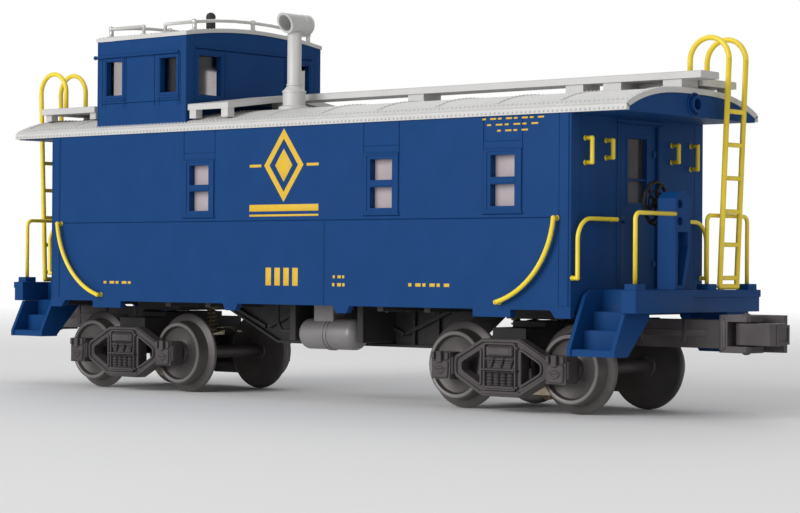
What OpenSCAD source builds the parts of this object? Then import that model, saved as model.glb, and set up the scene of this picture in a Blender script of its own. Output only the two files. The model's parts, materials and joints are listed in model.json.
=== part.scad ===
// O gauge model caboose: a body with a cupola, two end platforms and two swivelling four-wheel trucks.
// X runs along the car towards its front platform, Y across it, and Z up from the bottom of the wheel
// flanges. Everything at an end is drawn for the front end, and turned half round for the rear one.

/* [Body] */
// Length of the body over its end walls
body_l = 178.8; // [140:0.1:230]
// Width of the body over its side walls
body_w = 54; // [52:0.1:68]
// Height of the side walls
wall_h = 45; // [42:0.1:56]
// Thickness of the side and end walls
wall_t = 1.8; // [1.2:0.1:2.4]
// Gap between the tops of the wheel flanges and the side walls' lower edge
wheel_gap = 3.2; // [3.1:0.1:6]
// Thickness of the floor
floor_t = 2; // [1.5:0.1:3]

/* [Windows] */
// Width of a side window's panes
pane_w = 7.1; // [5:0.1:9]
// Height of each of the two panes in a side window
pane_h = 5.1; // [3.5:0.1:6]
// Height of the rail between the two panes
sash_h = 1.7; // [0.8:0.1:2.5]
// Height of a side window's lower edge above the walls' lower edge
window_sill_h = 24; // [16:0.1:27]
// Width of the raised frame round a side window
frame_w = 2; // [1:0.1:3]
// How far the raised frame stands out
frame_out = 0.3; // [0.2:0.1:0.8]
// Distance of the foremost window's centre from the front end
window_a_in = 19.7; // [14:0.1:24]
// Distance of the middle window's centre from the front end
window_b_in = 57.2; // [45:0.1:62]
// Distance of the rearmost window's centre from the rear end
window_c_in = 58.4; // [45:0.1:62]
// Thickness of the glazing
glass_t = 0.8; // [0.5:0.1:1.2]

/* [End walls] */
// Width of the recessed door
door_w = 15; // [11:0.1:18]
// Height of the door's lower edge above the walls' lower edge
door_z = 5; // [4.8:0.1:8]
// Height of the door
door_h = 38.3; // [32:0.1:39]
// Depth of the door recess
door_in = 0.7; // [0.3:0.1:0.9]
// Width of the door's window
door_glass_w = 7.7; // [5:0.1:9]
// Height of the door's window
door_glass_h = 15.2; // [10:0.1:16]

/* [Roof] */
// How far the roof reaches past each end wall
roof_end = 15.4; // [12:0.1:16.5]
// How far the roof reaches past each side wall
roof_side = 0.5; // [0.3:0.1:2]
// Height of the roof's upright edge
eave_h = 1.4; // [1:0.1:2.5]
// Rise of the roof from its edge to its middle
roof_rise = 4.8; // [3:0.1:8]
// Thickness of the roof
roof_t = 1.1; // [0.8:0.1:1.6]
// Thickness of the board that closes the roof's end
gable_t = 2; // [1.5:0.1:3]
// Diameter of the marker lamp socket in the gable
marker_d = 2.6; // [2:0.1:3]

/* [Cupola] */
// Length of the cupola
cupola_l = 34.7; // [30:0.1:42]
// How far each side of the cupola stands in from the body's side wall
cupola_in = 1; // [0.5:0.1:4]
// Distance of the cupola's centre from the rear end of the body
cupola_back = 34.8; // [30:0.1:38]
// Height of the cupola's sides above the side walls' upper edge
cupola_h = 25.5; // [22:0.1:32]
// Rise of the cupola's roof from its edge to its middle
cupola_rise = 2.1; // [1.5:0.1:5]
// Thickness of the cupola's walls
cupola_t = 1.6; // [1.2:0.1:2]
// Thickness of the cupola's roof
cupola_roof_t = 0.9; // [0.6:0.1:1.5]
// Width of a window in the cupola's sides
cupola_pane_w = 6.2; // [4:0.1:7.5]
// Height of a window in the cupola's sides
cupola_pane_h = 9.2; // [6:0.1:10]
// Width of a window in the cupola's ends
cupola_end_pane_w = 8.2; // [5:0.1:9]
// Height of a window in the cupola's ends
cupola_end_pane_h = 10.5; // [7:0.1:11]

/* [Smoke jack] */
// Distance of the smoke jack from the cupola's front
jack_ahead = 24.1; // [20:0.1:28]
// Distance of the smoke jack from the middle of the roof
jack_out = 10; // [9.5:0.1:13]
// Diameter of the smoke jack's pipe
jack_d = 3.7; // [3:0.1:4.2]
// Diameter of the smoke jack's base
jack_base_d = 6; // [5:0.1:7]
// Height of the smoke jack's base above the side walls' upper edge
jack_base_h = 10.5; // [9:0.1:13]
// Height of the hood's axis above the side walls' upper edge
jack_h = 28.1; // [21:0.1:30]
// Outer diameter of the hood
hood_d = 5.2; // [4.8:0.1:7]
// Wall thickness of the hood
hood_t = 0.6; // [0.5:0.1:0.9]
// Length of the hood along its upper side
hood_l = 9.8; // [8:0.1:12]
// How far the hood's slanting mouth draws back towards its lower side
hood_slant = 2.4; // [0.5:0.1:2.8]

/* [Roofwalk] */
// Width of the long board
walk_w = 7.7; // [6:0.1:9]
// Thickness of the boards
walk_t = 1.5; // [1:0.1:2]
// Height of the boards' upper face above the side walls' upper edge
walk_h = 10; // [8.5:0.1:12]
// How far the long board reaches past the roof's end
walk_end = 4.1; // [2:0.1:5]
// How far the ladder landing reaches across the roof from its middle
landing_w = 18.2; // [16:0.1:20]
// Length of the ladder landing
landing_l = 22.5; // [15:0.1:26]
// Length, along the car, of the landing in front of the cupola
cross_l = 15; // [8:0.1:18]
// How far the ends of that landing lie below the long board
cross_drop = 2.9; // [2:0.1:3.2]

/* [Platforms] */
// How far an end platform reaches past the end wall
platform_l = 17.3; // [15.5:0.1:20]
// Height of a platform above the walls' lower edge
platform_h = 4.8; // [4:0.1:4.8]
// Thickness of a platform's end beam
beam_t = 3.9; // [3:0.1:5]
// Height of a platform's end beam
beam_h = 5.2; // [4.5:0.1:5.2]
// Diameter of the railings' wire
rail_d = 1; // [0.8:0.1:1.3]
// Height of the railings above the platform
railing_h = 17.4; // [14:0.1:20]

/* [Steps] */
// Width of a flight of steps between its outer faces
steps_w = 13.2; // [10:0.1:14]
// Rise of each step
step_rise = 4.2; // [3.5:0.1:4.5]
// Run of each step
step_run = 3.6; // [3:0.1:4]
// Thickness of the steps and of their side boards
step_t = 1; // [0.8:0.1:1.4]

/* [Ladders] */
// Distance between a ladder's side rails
ladder_w = 7.3; // [5.5:0.1:8.5]
// Diameter of a ladder's side rails
stile_d = 1.3; // [1:0.1:1.6]
// Diameter of a ladder's rungs
rung_d = 1.1; // [0.8:0.1:1.3]
// Distance between rungs
rung_pitch = 7.8; // [6.5:0.1:8]
// Distance of the front ladder from the middle of the car
ladder_front_y = 13.2; // [12:0.1:14]
// Distance of the rear ladder from the middle of the car
ladder_rear_y = 11.8; // [10:0.1:14]

/* [Brake gear] */
// Width of a brake stand
stand_w = 6.2; // [6:0.1:8]
// Depth of a brake stand along the car
stand_l = 5; // [4:0.1:5.5]
// Height of a brake stand above the platform
stand_h = 22.6; // [18:0.1:26]
// Diameter of a brake wheel
brake_wheel_d = 10.8; // [8:0.1:12]
// Diameter of the wire in a brake wheel's rim
brake_rim_d = 1.1; // [0.8:0.1:1.4]

/* [Trucks] */
// Distance of a truck's centre from the end of the body
truck_in = 24; // [20:0.1:30]
// Distance between a truck's two axles
wheelbase = 34.3; // [28:0.1:42]
// Diameter over a wheel's flange
flange_d = 21.2; // [17.6:0.1:25.5]
// Height of a wheel's flange over its tread
flange_h = 2.1; // [1.5:0.1:2.5]
// Thickness of a wheel's flange
flange_t = 1.2; // [1:0.1:1.6]
// Width of a wheel with its flange
wheel_w = 4.8; // [4:0.1:6]
// Distance between the backs of an axle's two wheels
back_to_back = 26.4; // [25:0.1:28.5]
// Diameter of an axle between its wheels
axle_d = 3.2; // [2.5:0.1:4]
// Diameter of the journals that turn in the axle boxes
journal_d = 2; // [1.6:0.1:2.6]
// Clearance all round a journal or a pin
running_gap = 0.06; // [0.03:0.01:0.09]
// Thickness of a truck's side frame
side_frame_t = 3; // [2.5:0.1:4]
// Width of an axle box
axle_box_w = 5.7; // [4.5:0.1:6.5]
// Height of an axle box
axle_box_h = 6.5; // [5:0.1:7.5]
// Diameter of the pin that a truck turns on
kingpin_d = 3; // [2.4:0.1:3.6]

/* [Couplers] */
// How far a coupler reaches past the end of the body
coupler_reach = 40.3; // [36:0.1:46]
// Height of a coupler's head
head_h = 8.5; // [7:0.1:9]
// Width of a coupler's head
head_w = 12.4; // [11:0.1:15]
// Width of a coupler's shank
shank_w = 6.8; // [5:0.1:8]
// Diameter of the pin that a knuckle turns on
knuckle_pin_d = 2; // [1.6:0.1:2.4]

/* [Underframe] */
// Diameter of the air tank
tank_d = 7.8; // [5:0.1:8]
// Length of the air tank
tank_l = 20.2; // [14:0.1:24]
// Distance of the air tank's axis from the middle of the car
tank_out = 15; // [12:0.1:18]
// Width of the centre sill
centre_sill_w = 10; // [6:0.1:12]
// Depth of the centre sill below the floor
centre_sill_h = 10.8; // [8:0.1:11.5]

/* [Hidden] */
$fn = 48;

body_blue = [0.13, 0.27, 0.52];
roof_silver = [0.75, 0.76, 0.77];
rail_yellow = [0.95, 0.83, 0.15];
truck_grey = [0.25, 0.24, 0.25];
underframe_black = [0.1, 0.1, 0.1];
glass_white = [0.85, 0.83, 0.83, 0.6];
brass = [0.75, 0.6, 0.35];

// Gap between seated pieces whose faces are curved or sloped
seat_gap = 0.05;
// Gap between moving pieces that pass each other
moving_gap = 0.4;

body_x = body_l / 2;
body_y = body_w / 2;
inner_x = body_x - wall_t;
inner_y = body_y - wall_t;
axle_z = flange_d / 2;
sill_z = flange_d + wheel_gap;
eave_z = sill_z + wall_h;
platform_z = sill_z + platform_h;
floor_z = sill_z + 0.5;
roof_x = body_x + roof_end;
roof_y = body_y + roof_side;
truck_x = body_x - truck_in;

// Parts of the side wall that hang below its lower edge: each is the distance of its outer and
// inner end from the end of the body at the top, and how far each end slopes in towards the bottom.
skirt_h = 1.8;
skirts = [[0, 5.8, 0, 1.5], [17.2, 28.4, 0, 0], [67.4, 72.8, 1, 1]];
window_xs = [body_x - window_a_in, body_x - window_b_in, window_c_in - body_x];
window_h = 2 * pane_h + sash_h;
door_glass_z = sill_z + door_z + door_h - 3 - door_glass_h;

wheel_y = back_to_back / 2;
wheel_face_y = wheel_y + wheel_w;
side_frame_y = wheel_face_y + 0.7;
box_out = 1.5;
journal_l = 2.6;
bolster_l = wheelbase - flange_d - 3.1;
bolster_h = 6.9;
pad_half_l = 8.5;
pad_z = sill_z - 2.6;
bolster_z = pad_z - moving_gap;

cupola_x = cupola_back - body_x;
cupola_y = body_y - cupola_in;
cupola_front_x = cupola_x + cupola_l / 2;
cupola_rear_x = cupola_x - cupola_l / 2;
cupola_eave_z = eave_z + cupola_h;
cupola_pane_x = 10.6;
cupola_end_pane_y = 17.3;
cupola_pane_z = eave_z + 10.7;

walk_z = eave_z + walk_h;
landing_z = walk_z - 1.2;
walk_y = walk_w / 2;
walk_x = roof_x + walk_end;

beam_x = body_x + platform_l;
beam_y = body_y - 0.9;
beam_inner_x = beam_x - beam_t;
beam_z = platform_z - beam_h;
base_h = 1.4;
base_w = 3.8;
inner_post_y = min(5.4, min(ladder_front_y, ladder_rear_y) - ladder_w / 2 - 0.6 * stile_d - base_w / 2);
post_ys = [-23.7, inner_post_y, 22.8];
railing_x = beam_x - 1.9;
rail_top_z = platform_z + railing_h;

steps_x = body_x + 0.9;
steps_outer_x = steps_x + steps_w;
riser_y = body_y - 10;
steps_low_z = sill_z - 10.2;
step_lip_h = 1.5;
steps_front_y = body_y + 2.6;

stand_y = -4.7;
stand_x = beam_x - 1.8 - stand_l;
brake_wheel_z = platform_z + 20;
brake_wheel_x = stand_x - 2.6;

coupler_tip_x = body_x + coupler_reach;
head_top_z = beam_z - 0.3;
head_low_z = head_top_z - head_h;
head_x = coupler_tip_x - 14.6;
shank_x = truck_x + 12;
knuckle_x = coupler_tip_x - 8.4;
knuckle_y = -head_w / 2 + 2.6;
ear_t = 1.5;
shank_z = head_low_z + 0.8;
shank_h = 6.4;

tank_x = 5.9;
tank_z = sill_z - 0.2 - 3.4 - tank_d / 2;

// Height of an arch over its springing at distance y from its middle
function arch(y, half, rise, power) = rise * (1 - pow(abs(y) / half, power));
function roof_top(y) = eave_z + eave_h + arch(y, roof_y, roof_rise, 3);
function cupola_top(y) = cupola_eave_z + arch(y, cupola_y, cupola_rise, 2);
// Points across the car from -half to half
function across(half, count) = [for (i = [0:count]) -half + 2 * half * i / count];
function reversed(list) = [for (i = [len(list) - 1:-1:0]) list[i]];

module block(low, high) { translate(low) cube(high - low); }
module sheet_xz(y0, y1) { translate([0, y1, 0]) rotate([90, 0, 0]) linear_extrude(y1 - y0) children(); }
module sheet_yz(x0, x1) { translate([x0, 0, 0]) rotate([90, 0, 90]) linear_extrude(x1 - x0) children(); }
module both_sides() {
    children();
    mirror([0, 1, 0]) children();
}
module at_end(front) { rotate(front ? 0 : 180) children(); }

// A straight wire from a to b
module rod(a, b, d) {
    v = b - a;
    translate(a) rotate([0, acos(v[2] / norm(v)), atan2(v[1], v[0])]) cylinder(h = norm(v), d = d);
}

// A wire along straight stretches, with a bead at each bend
module wire(points, d) {
    for (i = [0:len(points) - 2]) rod(points[i], points[i + 1], d);
    for (i = [1:len(points) - 2]) translate(points[i]) sphere(d = 1.08 * d);
}

// A quarter bend or other arc of wire about the origin, in the XY plane
module wire_arc(radius, start, sweep, d) {
    rotate(start) rotate_extrude(angle = sweep) translate([radius, 0]) circle(d = d);
}

// ---- Body ----

module skirt_outlines() {
    for (side = [-1, 1], s = skirts)
        polygon([
            for (p = [[s[0], 0.01], [s[1], 0.01], [s[1] - s[3], -skirt_h], [s[0] + s[2], -skirt_h]])
                [side * (body_x - p[0]), sill_z + p[1]]
        ]);
}

module window_panes() {
    for (x = window_xs, row = [0, 1])
        translate([x - pane_w / 2, sill_z + window_sill_h + row * (pane_h + sash_h)])
            square([pane_w, pane_h]);
}

module side_wall() {
    color(body_blue) {
        sheet_xz(-body_y, -inner_y) difference() {
            union() {
                translate([-body_x, sill_z]) square([body_l, wall_h]);
                skirt_outlines();
            }
            window_panes();
        }
        sheet_xz(-body_y - frame_out, -body_y + 0.1) difference() {
            for (x = window_xs)
                translate([x - pane_w / 2 - frame_w, sill_z + window_sill_h - 1.3])
                    square([pane_w + 2 * frame_w, window_h + 2.6]);
            window_panes();
        }
    }
}
module side_wall_right() { side_wall(); }
module side_wall_left() { mirror([0, 1, 0]) side_wall(); }

module window_glass() {
    color(glass_white) both_sides() for (x = window_xs)
        block([x - pane_w / 2 - 1, -inner_y, sill_z + window_sill_h - 1],
              [x + pane_w / 2 + 1, -inner_y + glass_t, sill_z + window_sill_h + window_h + 1]);
}

module end_wall() {
    color(body_blue) difference() {
        block([inner_x, -inner_y, sill_z], [body_x, inner_y, eave_z]);
        block([body_x - door_in, -door_w / 2, sill_z + door_z],
              [body_x + 1, door_w / 2, sill_z + door_z + door_h]);
        block([inner_x - 1, -door_glass_w / 2, door_glass_z],
              [body_x + 1, door_glass_w / 2, door_glass_z + door_glass_h]);
    }
}
module end_wall_front() { at_end(true) end_wall(); }
module end_wall_rear() { at_end(false) end_wall(); }

module door_glass() {
    color(glass_white) for (front = [true, false]) at_end(front)
        block([inner_x - glass_t, -door_glass_w / 2 - 1, door_glass_z - 1],
              [inner_x, door_glass_w / 2 + 1, door_glass_z + door_glass_h + 1]);
}

// The floor, with a pad over each truck that its kingpin hangs from
module floor_pan() {
    color(underframe_black) {
        block([-inner_x, -inner_y, floor_z], [inner_x, inner_y, floor_z + floor_t]);
        for (side = [-1, 1]) translate([side * truck_x, 0, pad_z])
            block([-pad_half_l, -9, 0], [pad_half_l, 9, floor_z - pad_z + 0.1]);
    }
}

// A fish-belly beam under the floor, with the brackets that hold the air tank
module centre_sill() {
    low = floor_z - centre_sill_h;
    color(underframe_black) {
        sheet_xz(-centre_sill_w / 2, centre_sill_w / 2) polygon([
            [-46, floor_z], [46, floor_z], [46, floor_z - 2], [35, low], [-22, low], [-41, floor_z - 2],
            [-46, floor_z - 2]
        ]);
        for (side = [-1, 1]) translate([tank_x + side * (tank_l / 2 + 1.5), 0, 0]) {
            block([-1, -tank_out - tank_d / 2 + 1, sill_z - 9.4], [1, -centre_sill_w / 2 + 0.1, floor_z]);
        }
    }
}

module air_tank() {
    color(truck_grey) {
        translate([tank_x - tank_l / 2, -tank_out, tank_z]) rotate([0, 90, 0]) rotate_extrude()
            polygon([
                [0, 0], [tank_d * 0.28, 0], [tank_d * 0.44, 0.9], [tank_d / 2, 2.6],
                [tank_d / 2, tank_l - 2.6], [tank_d * 0.44, tank_l - 0.9], [tank_d * 0.28, tank_l],
                [0, tank_l]
            ]);
        for (side = [-1, 1]) translate([tank_x + side * tank_l / 2, -tank_out, tank_z])
            rotate([0, side * 90, 0]) cylinder(h = 0.5, d = 2.4);
        block([tank_x - 4.7, -tank_out - 2.4, tank_z + tank_d / 2 - 0.6],
              [tank_x + 2, -tank_out + 2.4, floor_z]);
    }
}

// ---- Roof ----

module main_roof() {
    ys = across(roof_y, 44);
    lip = 1;
    inner_ys = across(roof_y - lip, 40);
    color(roof_silver) sheet_yz(-roof_x, roof_x) polygon(concat(
        [[-roof_y, eave_z]],
        [for (y = ys) [y, roof_top(y)]],
        [[roof_y, eave_z], [roof_y - lip, eave_z]],
        [for (y = reversed(inner_ys)) [y, roof_top(y) - roof_t]],
        [[lip - roof_y, eave_z]]
    ));
}

// The board that closes the roof's end, the ceiling over the platform and the marker lamp's socket
module gable() {
    half = roof_y - 1.1;
    board_x = roof_x - 0.3;
    boss_l = 1;
    marker_z = eave_z + 2.7;
    color(body_blue) difference() {
        union() {
            sheet_yz(board_x - gable_t, board_x) polygon(concat(
                [[-half, eave_z - 0.2]],
                [for (y = across(half, 40)) [y, roof_top(y) - roof_t - seat_gap]],
                [[half, eave_z - 0.2]]
            ));
            block([body_x, -inner_y, eave_z - 0.2], [board_x - gable_t + 0.1, inner_y, eave_z + 0.6]);
            translate([board_x - 0.1, 0, marker_z]) rotate([0, 90, 0])
                cylinder(h = boss_l + 0.1, d = marker_d + 1.4);
        }
        translate([board_x - gable_t - 1, 0, marker_z]) rotate([0, 90, 0])
            cylinder(h = gable_t + boss_l + 2, d = marker_d);
    }
}
module gable_front() { at_end(true) gable(); }
module gable_rear() { at_end(false) gable(); }

module cupola_side() {
    y = cupola_y - cupola_t;
    color(body_blue) {
        difference() {
            sheet_yz(cupola_rear_x, cupola_front_x) polygon([
                [-cupola_y, roof_top(cupola_y) + seat_gap], [-y, roof_top(y) + seat_gap],
                [-y, cupola_eave_z], [-cupola_y, cupola_eave_z]
            ]);
            for (side = [-1, 1]) translate([cupola_x + side * cupola_pane_x, -cupola_y, cupola_pane_z])
                block([-cupola_pane_w / 2, -1, 0], [cupola_pane_w / 2, cupola_t + 1, cupola_pane_h]);
        }
        block([cupola_rear_x - 0.7, -cupola_y - 0.7, cupola_eave_z - 4.6],
              [cupola_front_x - 4, -cupola_y + 0.1, cupola_eave_z - 3.9]);
    }
}
module cupola_side_right() { cupola_side(); }
module cupola_side_left() { mirror([0, 1, 0]) cupola_side(); }

module cupola_end() {
    half = cupola_y - cupola_t;
    front_x = cupola_l / 2;
    color(body_blue) difference() {
        sheet_yz(front_x - cupola_t, front_x) polygon(concat(
            [for (y = across(half, 24)) [y, roof_top(y) + seat_gap]],
            [for (y = reversed(across(half, 24))) [y, cupola_top(y)]]
        ));
        for (side = [-1, 1]) translate([front_x, side * cupola_end_pane_y, cupola_pane_z - 0.6])
            block([-cupola_t - 1, -cupola_end_pane_w / 2, 0],
                  [1, cupola_end_pane_w / 2, cupola_end_pane_h]);
    }
}
module cupola_end_front() { translate([cupola_x, 0, 0]) at_end(true) cupola_end(); }
module cupola_end_rear() { translate([cupola_x, 0, 0]) at_end(false) cupola_end(); }

module cupola_glass() {
    y = cupola_y - cupola_t;
    x = cupola_l / 2 - cupola_t;
    color(glass_white) translate([cupola_x, 0, cupola_pane_z]) {
        both_sides() for (side = [-1, 1]) translate([side * cupola_pane_x, -y, 0])
            block([-cupola_pane_w / 2 - 1, 0, -1], [cupola_pane_w / 2 + 1, glass_t, cupola_pane_h + 1]);
        both_sides() for (front = [true, false]) at_end(front)
            block([x - glass_t, cupola_end_pane_y - cupola_end_pane_w / 2 - 1, -1.6],
                  [x, cupola_end_pane_y + cupola_end_pane_w / 2 + 1, cupola_end_pane_h + 0.4]);
    }
}

module cupola_roof() {
    half = cupola_y + 0.3;
    ys = across(half, 32);
    color(roof_silver) sheet_yz(cupola_rear_x - 0.3, cupola_front_x + 0.3) polygon(concat(
        [for (y = ys) [y, cupola_top(y) + seat_gap]],
        [for (y = reversed(ys)) [y, cupola_top(y) + seat_gap + cupola_roof_t]]
    ));
}

// Wire rails round the ends of the cupola's roof, on short stanchions
module cupola_rails() {
    color(roof_silver) translate([cupola_x, 0, 0]) {
        cupola_rail(-3.3);
        mirror([1, 0, 0]) cupola_rail(-5.1);
    }
}

// The rail at the cupola's rear end, whose two side legs stand foot_x from the cupola's middle
module cupola_rail(foot_x) {
    rail_wire_d = 0.9;
    stanchion_d = 1.2;
    x = -cupola_l / 2 + 1.05;
    corner_y = cupola_y - 4;
    corner_z = cupola_eave_z + 3.9;
    rise = cupola_top(0) - cupola_top(corner_y);
    seat_z = cupola_roof_t + 1.6 * seat_gap;
    foot_z = cupola_top(corner_y - stanchion_d / 2) + seat_z;
    wire(concat(
        [[foot_x, -corner_y, foot_z], [foot_x, -corner_y, corner_z]],
        [for (y = across(corner_y, 6)) [x, y, corner_z + arch(y, corner_y, rise, 2)]],
        [[foot_x, corner_y, corner_z], [foot_x, corner_y, foot_z]]
    ), rail_wire_d);
    for (y = [-corner_y, corner_y]) rod([x, y, foot_z], [x, y, corner_z - 0.2], stanchion_d);
    rod([x, 0, cupola_top(0) + seat_z], [x, 0, corner_z + rise - 0.2], stanchion_d);
}

module cupola_vent() {
    vent_d = 2.6;
    color(underframe_black) translate([cupola_x, 0, cupola_top(0) + seat_gap + cupola_roof_t]) {
        cylinder(h = 5, d = vent_d);
        translate([0, 0, 5]) sphere(d = vent_d * 1.04);
    }
}

// A stove pipe with a flared base and a hood open at both sides
module smoke_jack() {
    jack_x = cupola_front_x + jack_ahead;
    low = roof_top(jack_out) + seat_gap;
    base_top = eave_z + jack_base_h;
    hood_z = eave_z + jack_h;
    hood_bore_d = hood_d - 2 * hood_t;
    mouth_y = -hood_l / 2;
    color(roof_silver) translate([jack_x, -jack_out, 0]) difference() {
        union() {
            translate([0, 0, low + 0.5]) cylinder(h = base_top - low - 0.5, d = jack_base_d);
            translate([0, 0, base_top - 0.01]) cylinder(h = 1.4, d1 = jack_base_d, d2 = jack_d);
            translate([0, 0, base_top]) cylinder(h = hood_z - base_top - hood_bore_d / 2 - 0.3, d = jack_d);
            translate([0, hood_l / 2, hood_z]) rotate([90, 0, 0]) cylinder(h = hood_l, d = hood_d);
        }
        translate([0, hood_l / 2 + 1, hood_z]) rotate([90, 0, 0]) cylinder(h = hood_l + 2, d = hood_bore_d);
        sheet_yz(-hood_d, hood_d) polygon([
            [mouth_y - 0.2 * hood_slant, hood_z + 0.7 * hood_d],
            [mouth_y - 2, hood_z + 0.7 * hood_d], [mouth_y - 2, hood_z - 0.7 * hood_d],
            [mouth_y + 1.2 * hood_slant, hood_z - 0.7 * hood_d]
        ]);
    }
}

// A board across the roof that follows its curve
module cross_board(x0, x1, half) {
    end_z = walk_z - cross_drop;
    sheet_yz(x0, x1) polygon([
        [-half, end_z], [-half, end_z - walk_t], [-walk_y, walk_z - walk_t], [walk_y, walk_z - walk_t],
        [half, end_z - walk_t], [half, end_z], [walk_y, walk_z], [-walk_y, walk_z]
    ]);
}

// A small leg between the roof and a board, under height top
module walk_leg(x, y, top) {
    w = 2.4;
    low = max(roof_top(y - w / 2), roof_top(y + w / 2)) + seat_gap;
    block([x - w / 2, y - w / 2, low], [x + w / 2, y + w / 2, top]);
}

// The ladder's landing beside the long board, drawn for the front end
module landing() {
    x1 = roof_x - 0.3;
    x0 = x1 - landing_l;
    block([x0, walk_y - 0.1, landing_z - walk_t], [x1, landing_w, landing_z]);
    for (x = [x0 + 1.6, x1 - 2.2]) walk_leg(x, landing_w - 2, landing_z - walk_t + 0.1);
}

module long_board(x0, x1, legs) {
    block([x0, -walk_y, walk_z - walk_t], [x1, walk_y, walk_z]);
    for (x = legs) block([x - 2.6, -walk_y + 0.4, roof_top(0) + seat_gap],
                         [x + 2.6, walk_y - 0.4, walk_z - walk_t + 0.1]);
}

module roofwalk_front() {
    x0 = cupola_front_x + 0.3;
    cross_y = body_y - 1.4;
    color(roof_silver) {
        long_board(x0, walk_x, [x0 + 12, x0 + 60, roof_x - 32, roof_x - 21, roof_x - 4]);
        landing();
        cross_board(x0, x0 + cross_l, cross_y);
        for (x = [x0 + 1.8, x0 + cross_l - 1.4], side = [-1, 1])
            walk_leg(x, side * (cross_y - 1.3), walk_z - cross_drop - walk_t + 0.5);
    }
}

module roofwalk_rear() {
    color(roof_silver) at_end(false) {
        long_board(-cupola_rear_x + 0.3, walk_x, [-cupola_rear_x + 8, roof_x - 4]);
        landing();
    }
}

// A wire ladder with hooped tops, standing on the platform's beam and reaching over to the landing
module ladder(y) {
    ladder_x = beam_x + 1.2;
    foot_x = beam_x - 1;
    foot_z = platform_z + 0.7 + stile_d / 2 - 0.6;
    hoop_r = 5.4;
    hoop_z = eave_z + 13.7;
    rung_z = eave_z + 1.6;
    color(rail_yellow) translate([0, y, 0]) {
        both_sides() translate([0, ladder_w / 2, 0]) {
            rod([foot_x, 0, foot_z], [ladder_x, 0, hoop_z], stile_d);
            translate([ladder_x - hoop_r, 0, hoop_z]) rotate([90, 0, 0]) wire_arc(hoop_r, 0, 180, stile_d);
            rod([ladder_x - 2 * hoop_r, 0, landing_z], [ladder_x - 2 * hoop_r, 0, hoop_z], stile_d);
        }
        for (i = [0:5]) {
            z = rung_z - i * rung_pitch;
            x = foot_x + (ladder_x - foot_x) * (z - foot_z) / (hoop_z - foot_z);
            rod([x, -ladder_w / 2, z], [x, ladder_w / 2, z], rung_d);
        }
        rod([foot_x, -ladder_w / 2, foot_z], [foot_x, ladder_w / 2, foot_z], stile_d);
        for (side = [-1, 1]) translate([foot_x, side * ladder_w / 2, foot_z]) sphere(d = 1.08 * stile_d);
    }
}
module ladder_front() { at_end(true) ladder(ladder_front_y); }
module ladder_rear() { at_end(false) ladder(ladder_rear_y); }

// ---- Platforms ----

module platform() {
    color(body_blue) difference() {
        union() {
            block([body_x, -riser_y + step_t, platform_z - 2],
                  [beam_inner_x + 0.1, riser_y - step_t, platform_z]);
            block([beam_inner_x, -beam_y, beam_z], [beam_x, beam_y, platform_z]);
            for (y = post_ys)
                block([railing_x - base_w / 2 + 0.3, y - base_w / 2, platform_z - 0.1],
                      [railing_x + base_w / 2 - 0.3, y + base_w / 2, platform_z + base_h]);
        }
        block([beam_x - 0.4, -2.8, beam_z - 1], [beam_x + 1, beam_y + 1, platform_z - 1.7]);
    }
}
module platform_front() { at_end(true) platform(); }
module platform_rear() { at_end(false) platform(); }

// One flight of steps, in outline: y is measured outwards from the middle of the car
module treads_outline() {
    lip_z = steps_low_z + step_lip_h;
    polygon([
        [riser_y - step_t, platform_z], [riser_y, platform_z],
        [riser_y, lip_z + 2 * step_rise], [riser_y + step_run, lip_z + 2 * step_rise],
        [riser_y + step_run, lip_z + step_rise], [riser_y + 2 * step_run, lip_z + step_rise],
        [riser_y + 2 * step_run, lip_z], [steps_front_y - 0.4, lip_z], [steps_front_y - 0.4, steps_low_z],
        [riser_y + 2 * step_run - step_t, steps_low_z],
        [riser_y + 2 * step_run - step_t, lip_z + step_rise - step_t],
        [riser_y + step_run - step_t, lip_z + step_rise - step_t],
        [riser_y + step_run - step_t, lip_z + 2 * step_rise - step_t],
        [riser_y - step_t, lip_z + 2 * step_rise - step_t]
    ]);
}
module step_board_outline() {
    polygon([
        [riser_y - step_t, platform_z], [body_y - 5.3, platform_z], [body_y - 3.3, platform_z - 1.4],
        [steps_front_y, steps_low_z + step_lip_h], [steps_front_y, steps_low_z],
        [steps_front_y - 5.2, steps_low_z], [riser_y - step_t, sill_z - 1.6]
    ]);
}
module steps(front) {
    color(body_blue) both_sides() at_end(front) {
        sheet_yz(steps_x + step_t - 0.1, steps_outer_x - step_t + 0.1) treads_outline();
        sheet_yz(steps_x, steps_x + step_t) step_board_outline();
        sheet_yz(steps_outer_x - step_t, steps_outer_x) intersection() {
            step_board_outline();
            square([2 * body_w, beam_z - seat_gap]);
        }
    }
}
module steps_front() { steps(true); }
module steps_rear() { steps(false); }

// Two railings on the platform's beam: one runs into the brake stand, the other is a plain hoop
module railing() {
    bend_r = 1.6;
    base_z = platform_z + base_h;
    color(rail_yellow) translate([railing_x, 0, 0]) {
        rod([0, post_ys[0], base_z], [0, post_ys[0], rail_top_z - bend_r], rail_d);
        rod([0, post_ys[0] + bend_r, rail_top_z], [0, stand_y - stand_w / 2, rail_top_z], rail_d);
        translate([0, post_ys[0] + bend_r, rail_top_z - bend_r]) rotate([90, 0, 90])
            wire_arc(bend_r, 90, 90, rail_d);
        for (y = [post_ys[1], post_ys[2]]) rod([0, y, base_z], [0, y, rail_top_z - bend_r], rail_d);
        rod([0, post_ys[1] + bend_r, rail_top_z], [0, post_ys[2] - bend_r, rail_top_z], rail_d);
        translate([0, post_ys[1] + bend_r, rail_top_z - bend_r]) rotate([90, 0, 90])
            wire_arc(bend_r, 90, 90, rail_d);
        translate([0, post_ys[2] - bend_r, rail_top_z - bend_r]) rotate([90, 0, 90])
            wire_arc(bend_r, 0, 90, rail_d);
    }
}
module railing_front() { at_end(true) railing(); }
module railing_rear() { at_end(false) railing(); }

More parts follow.
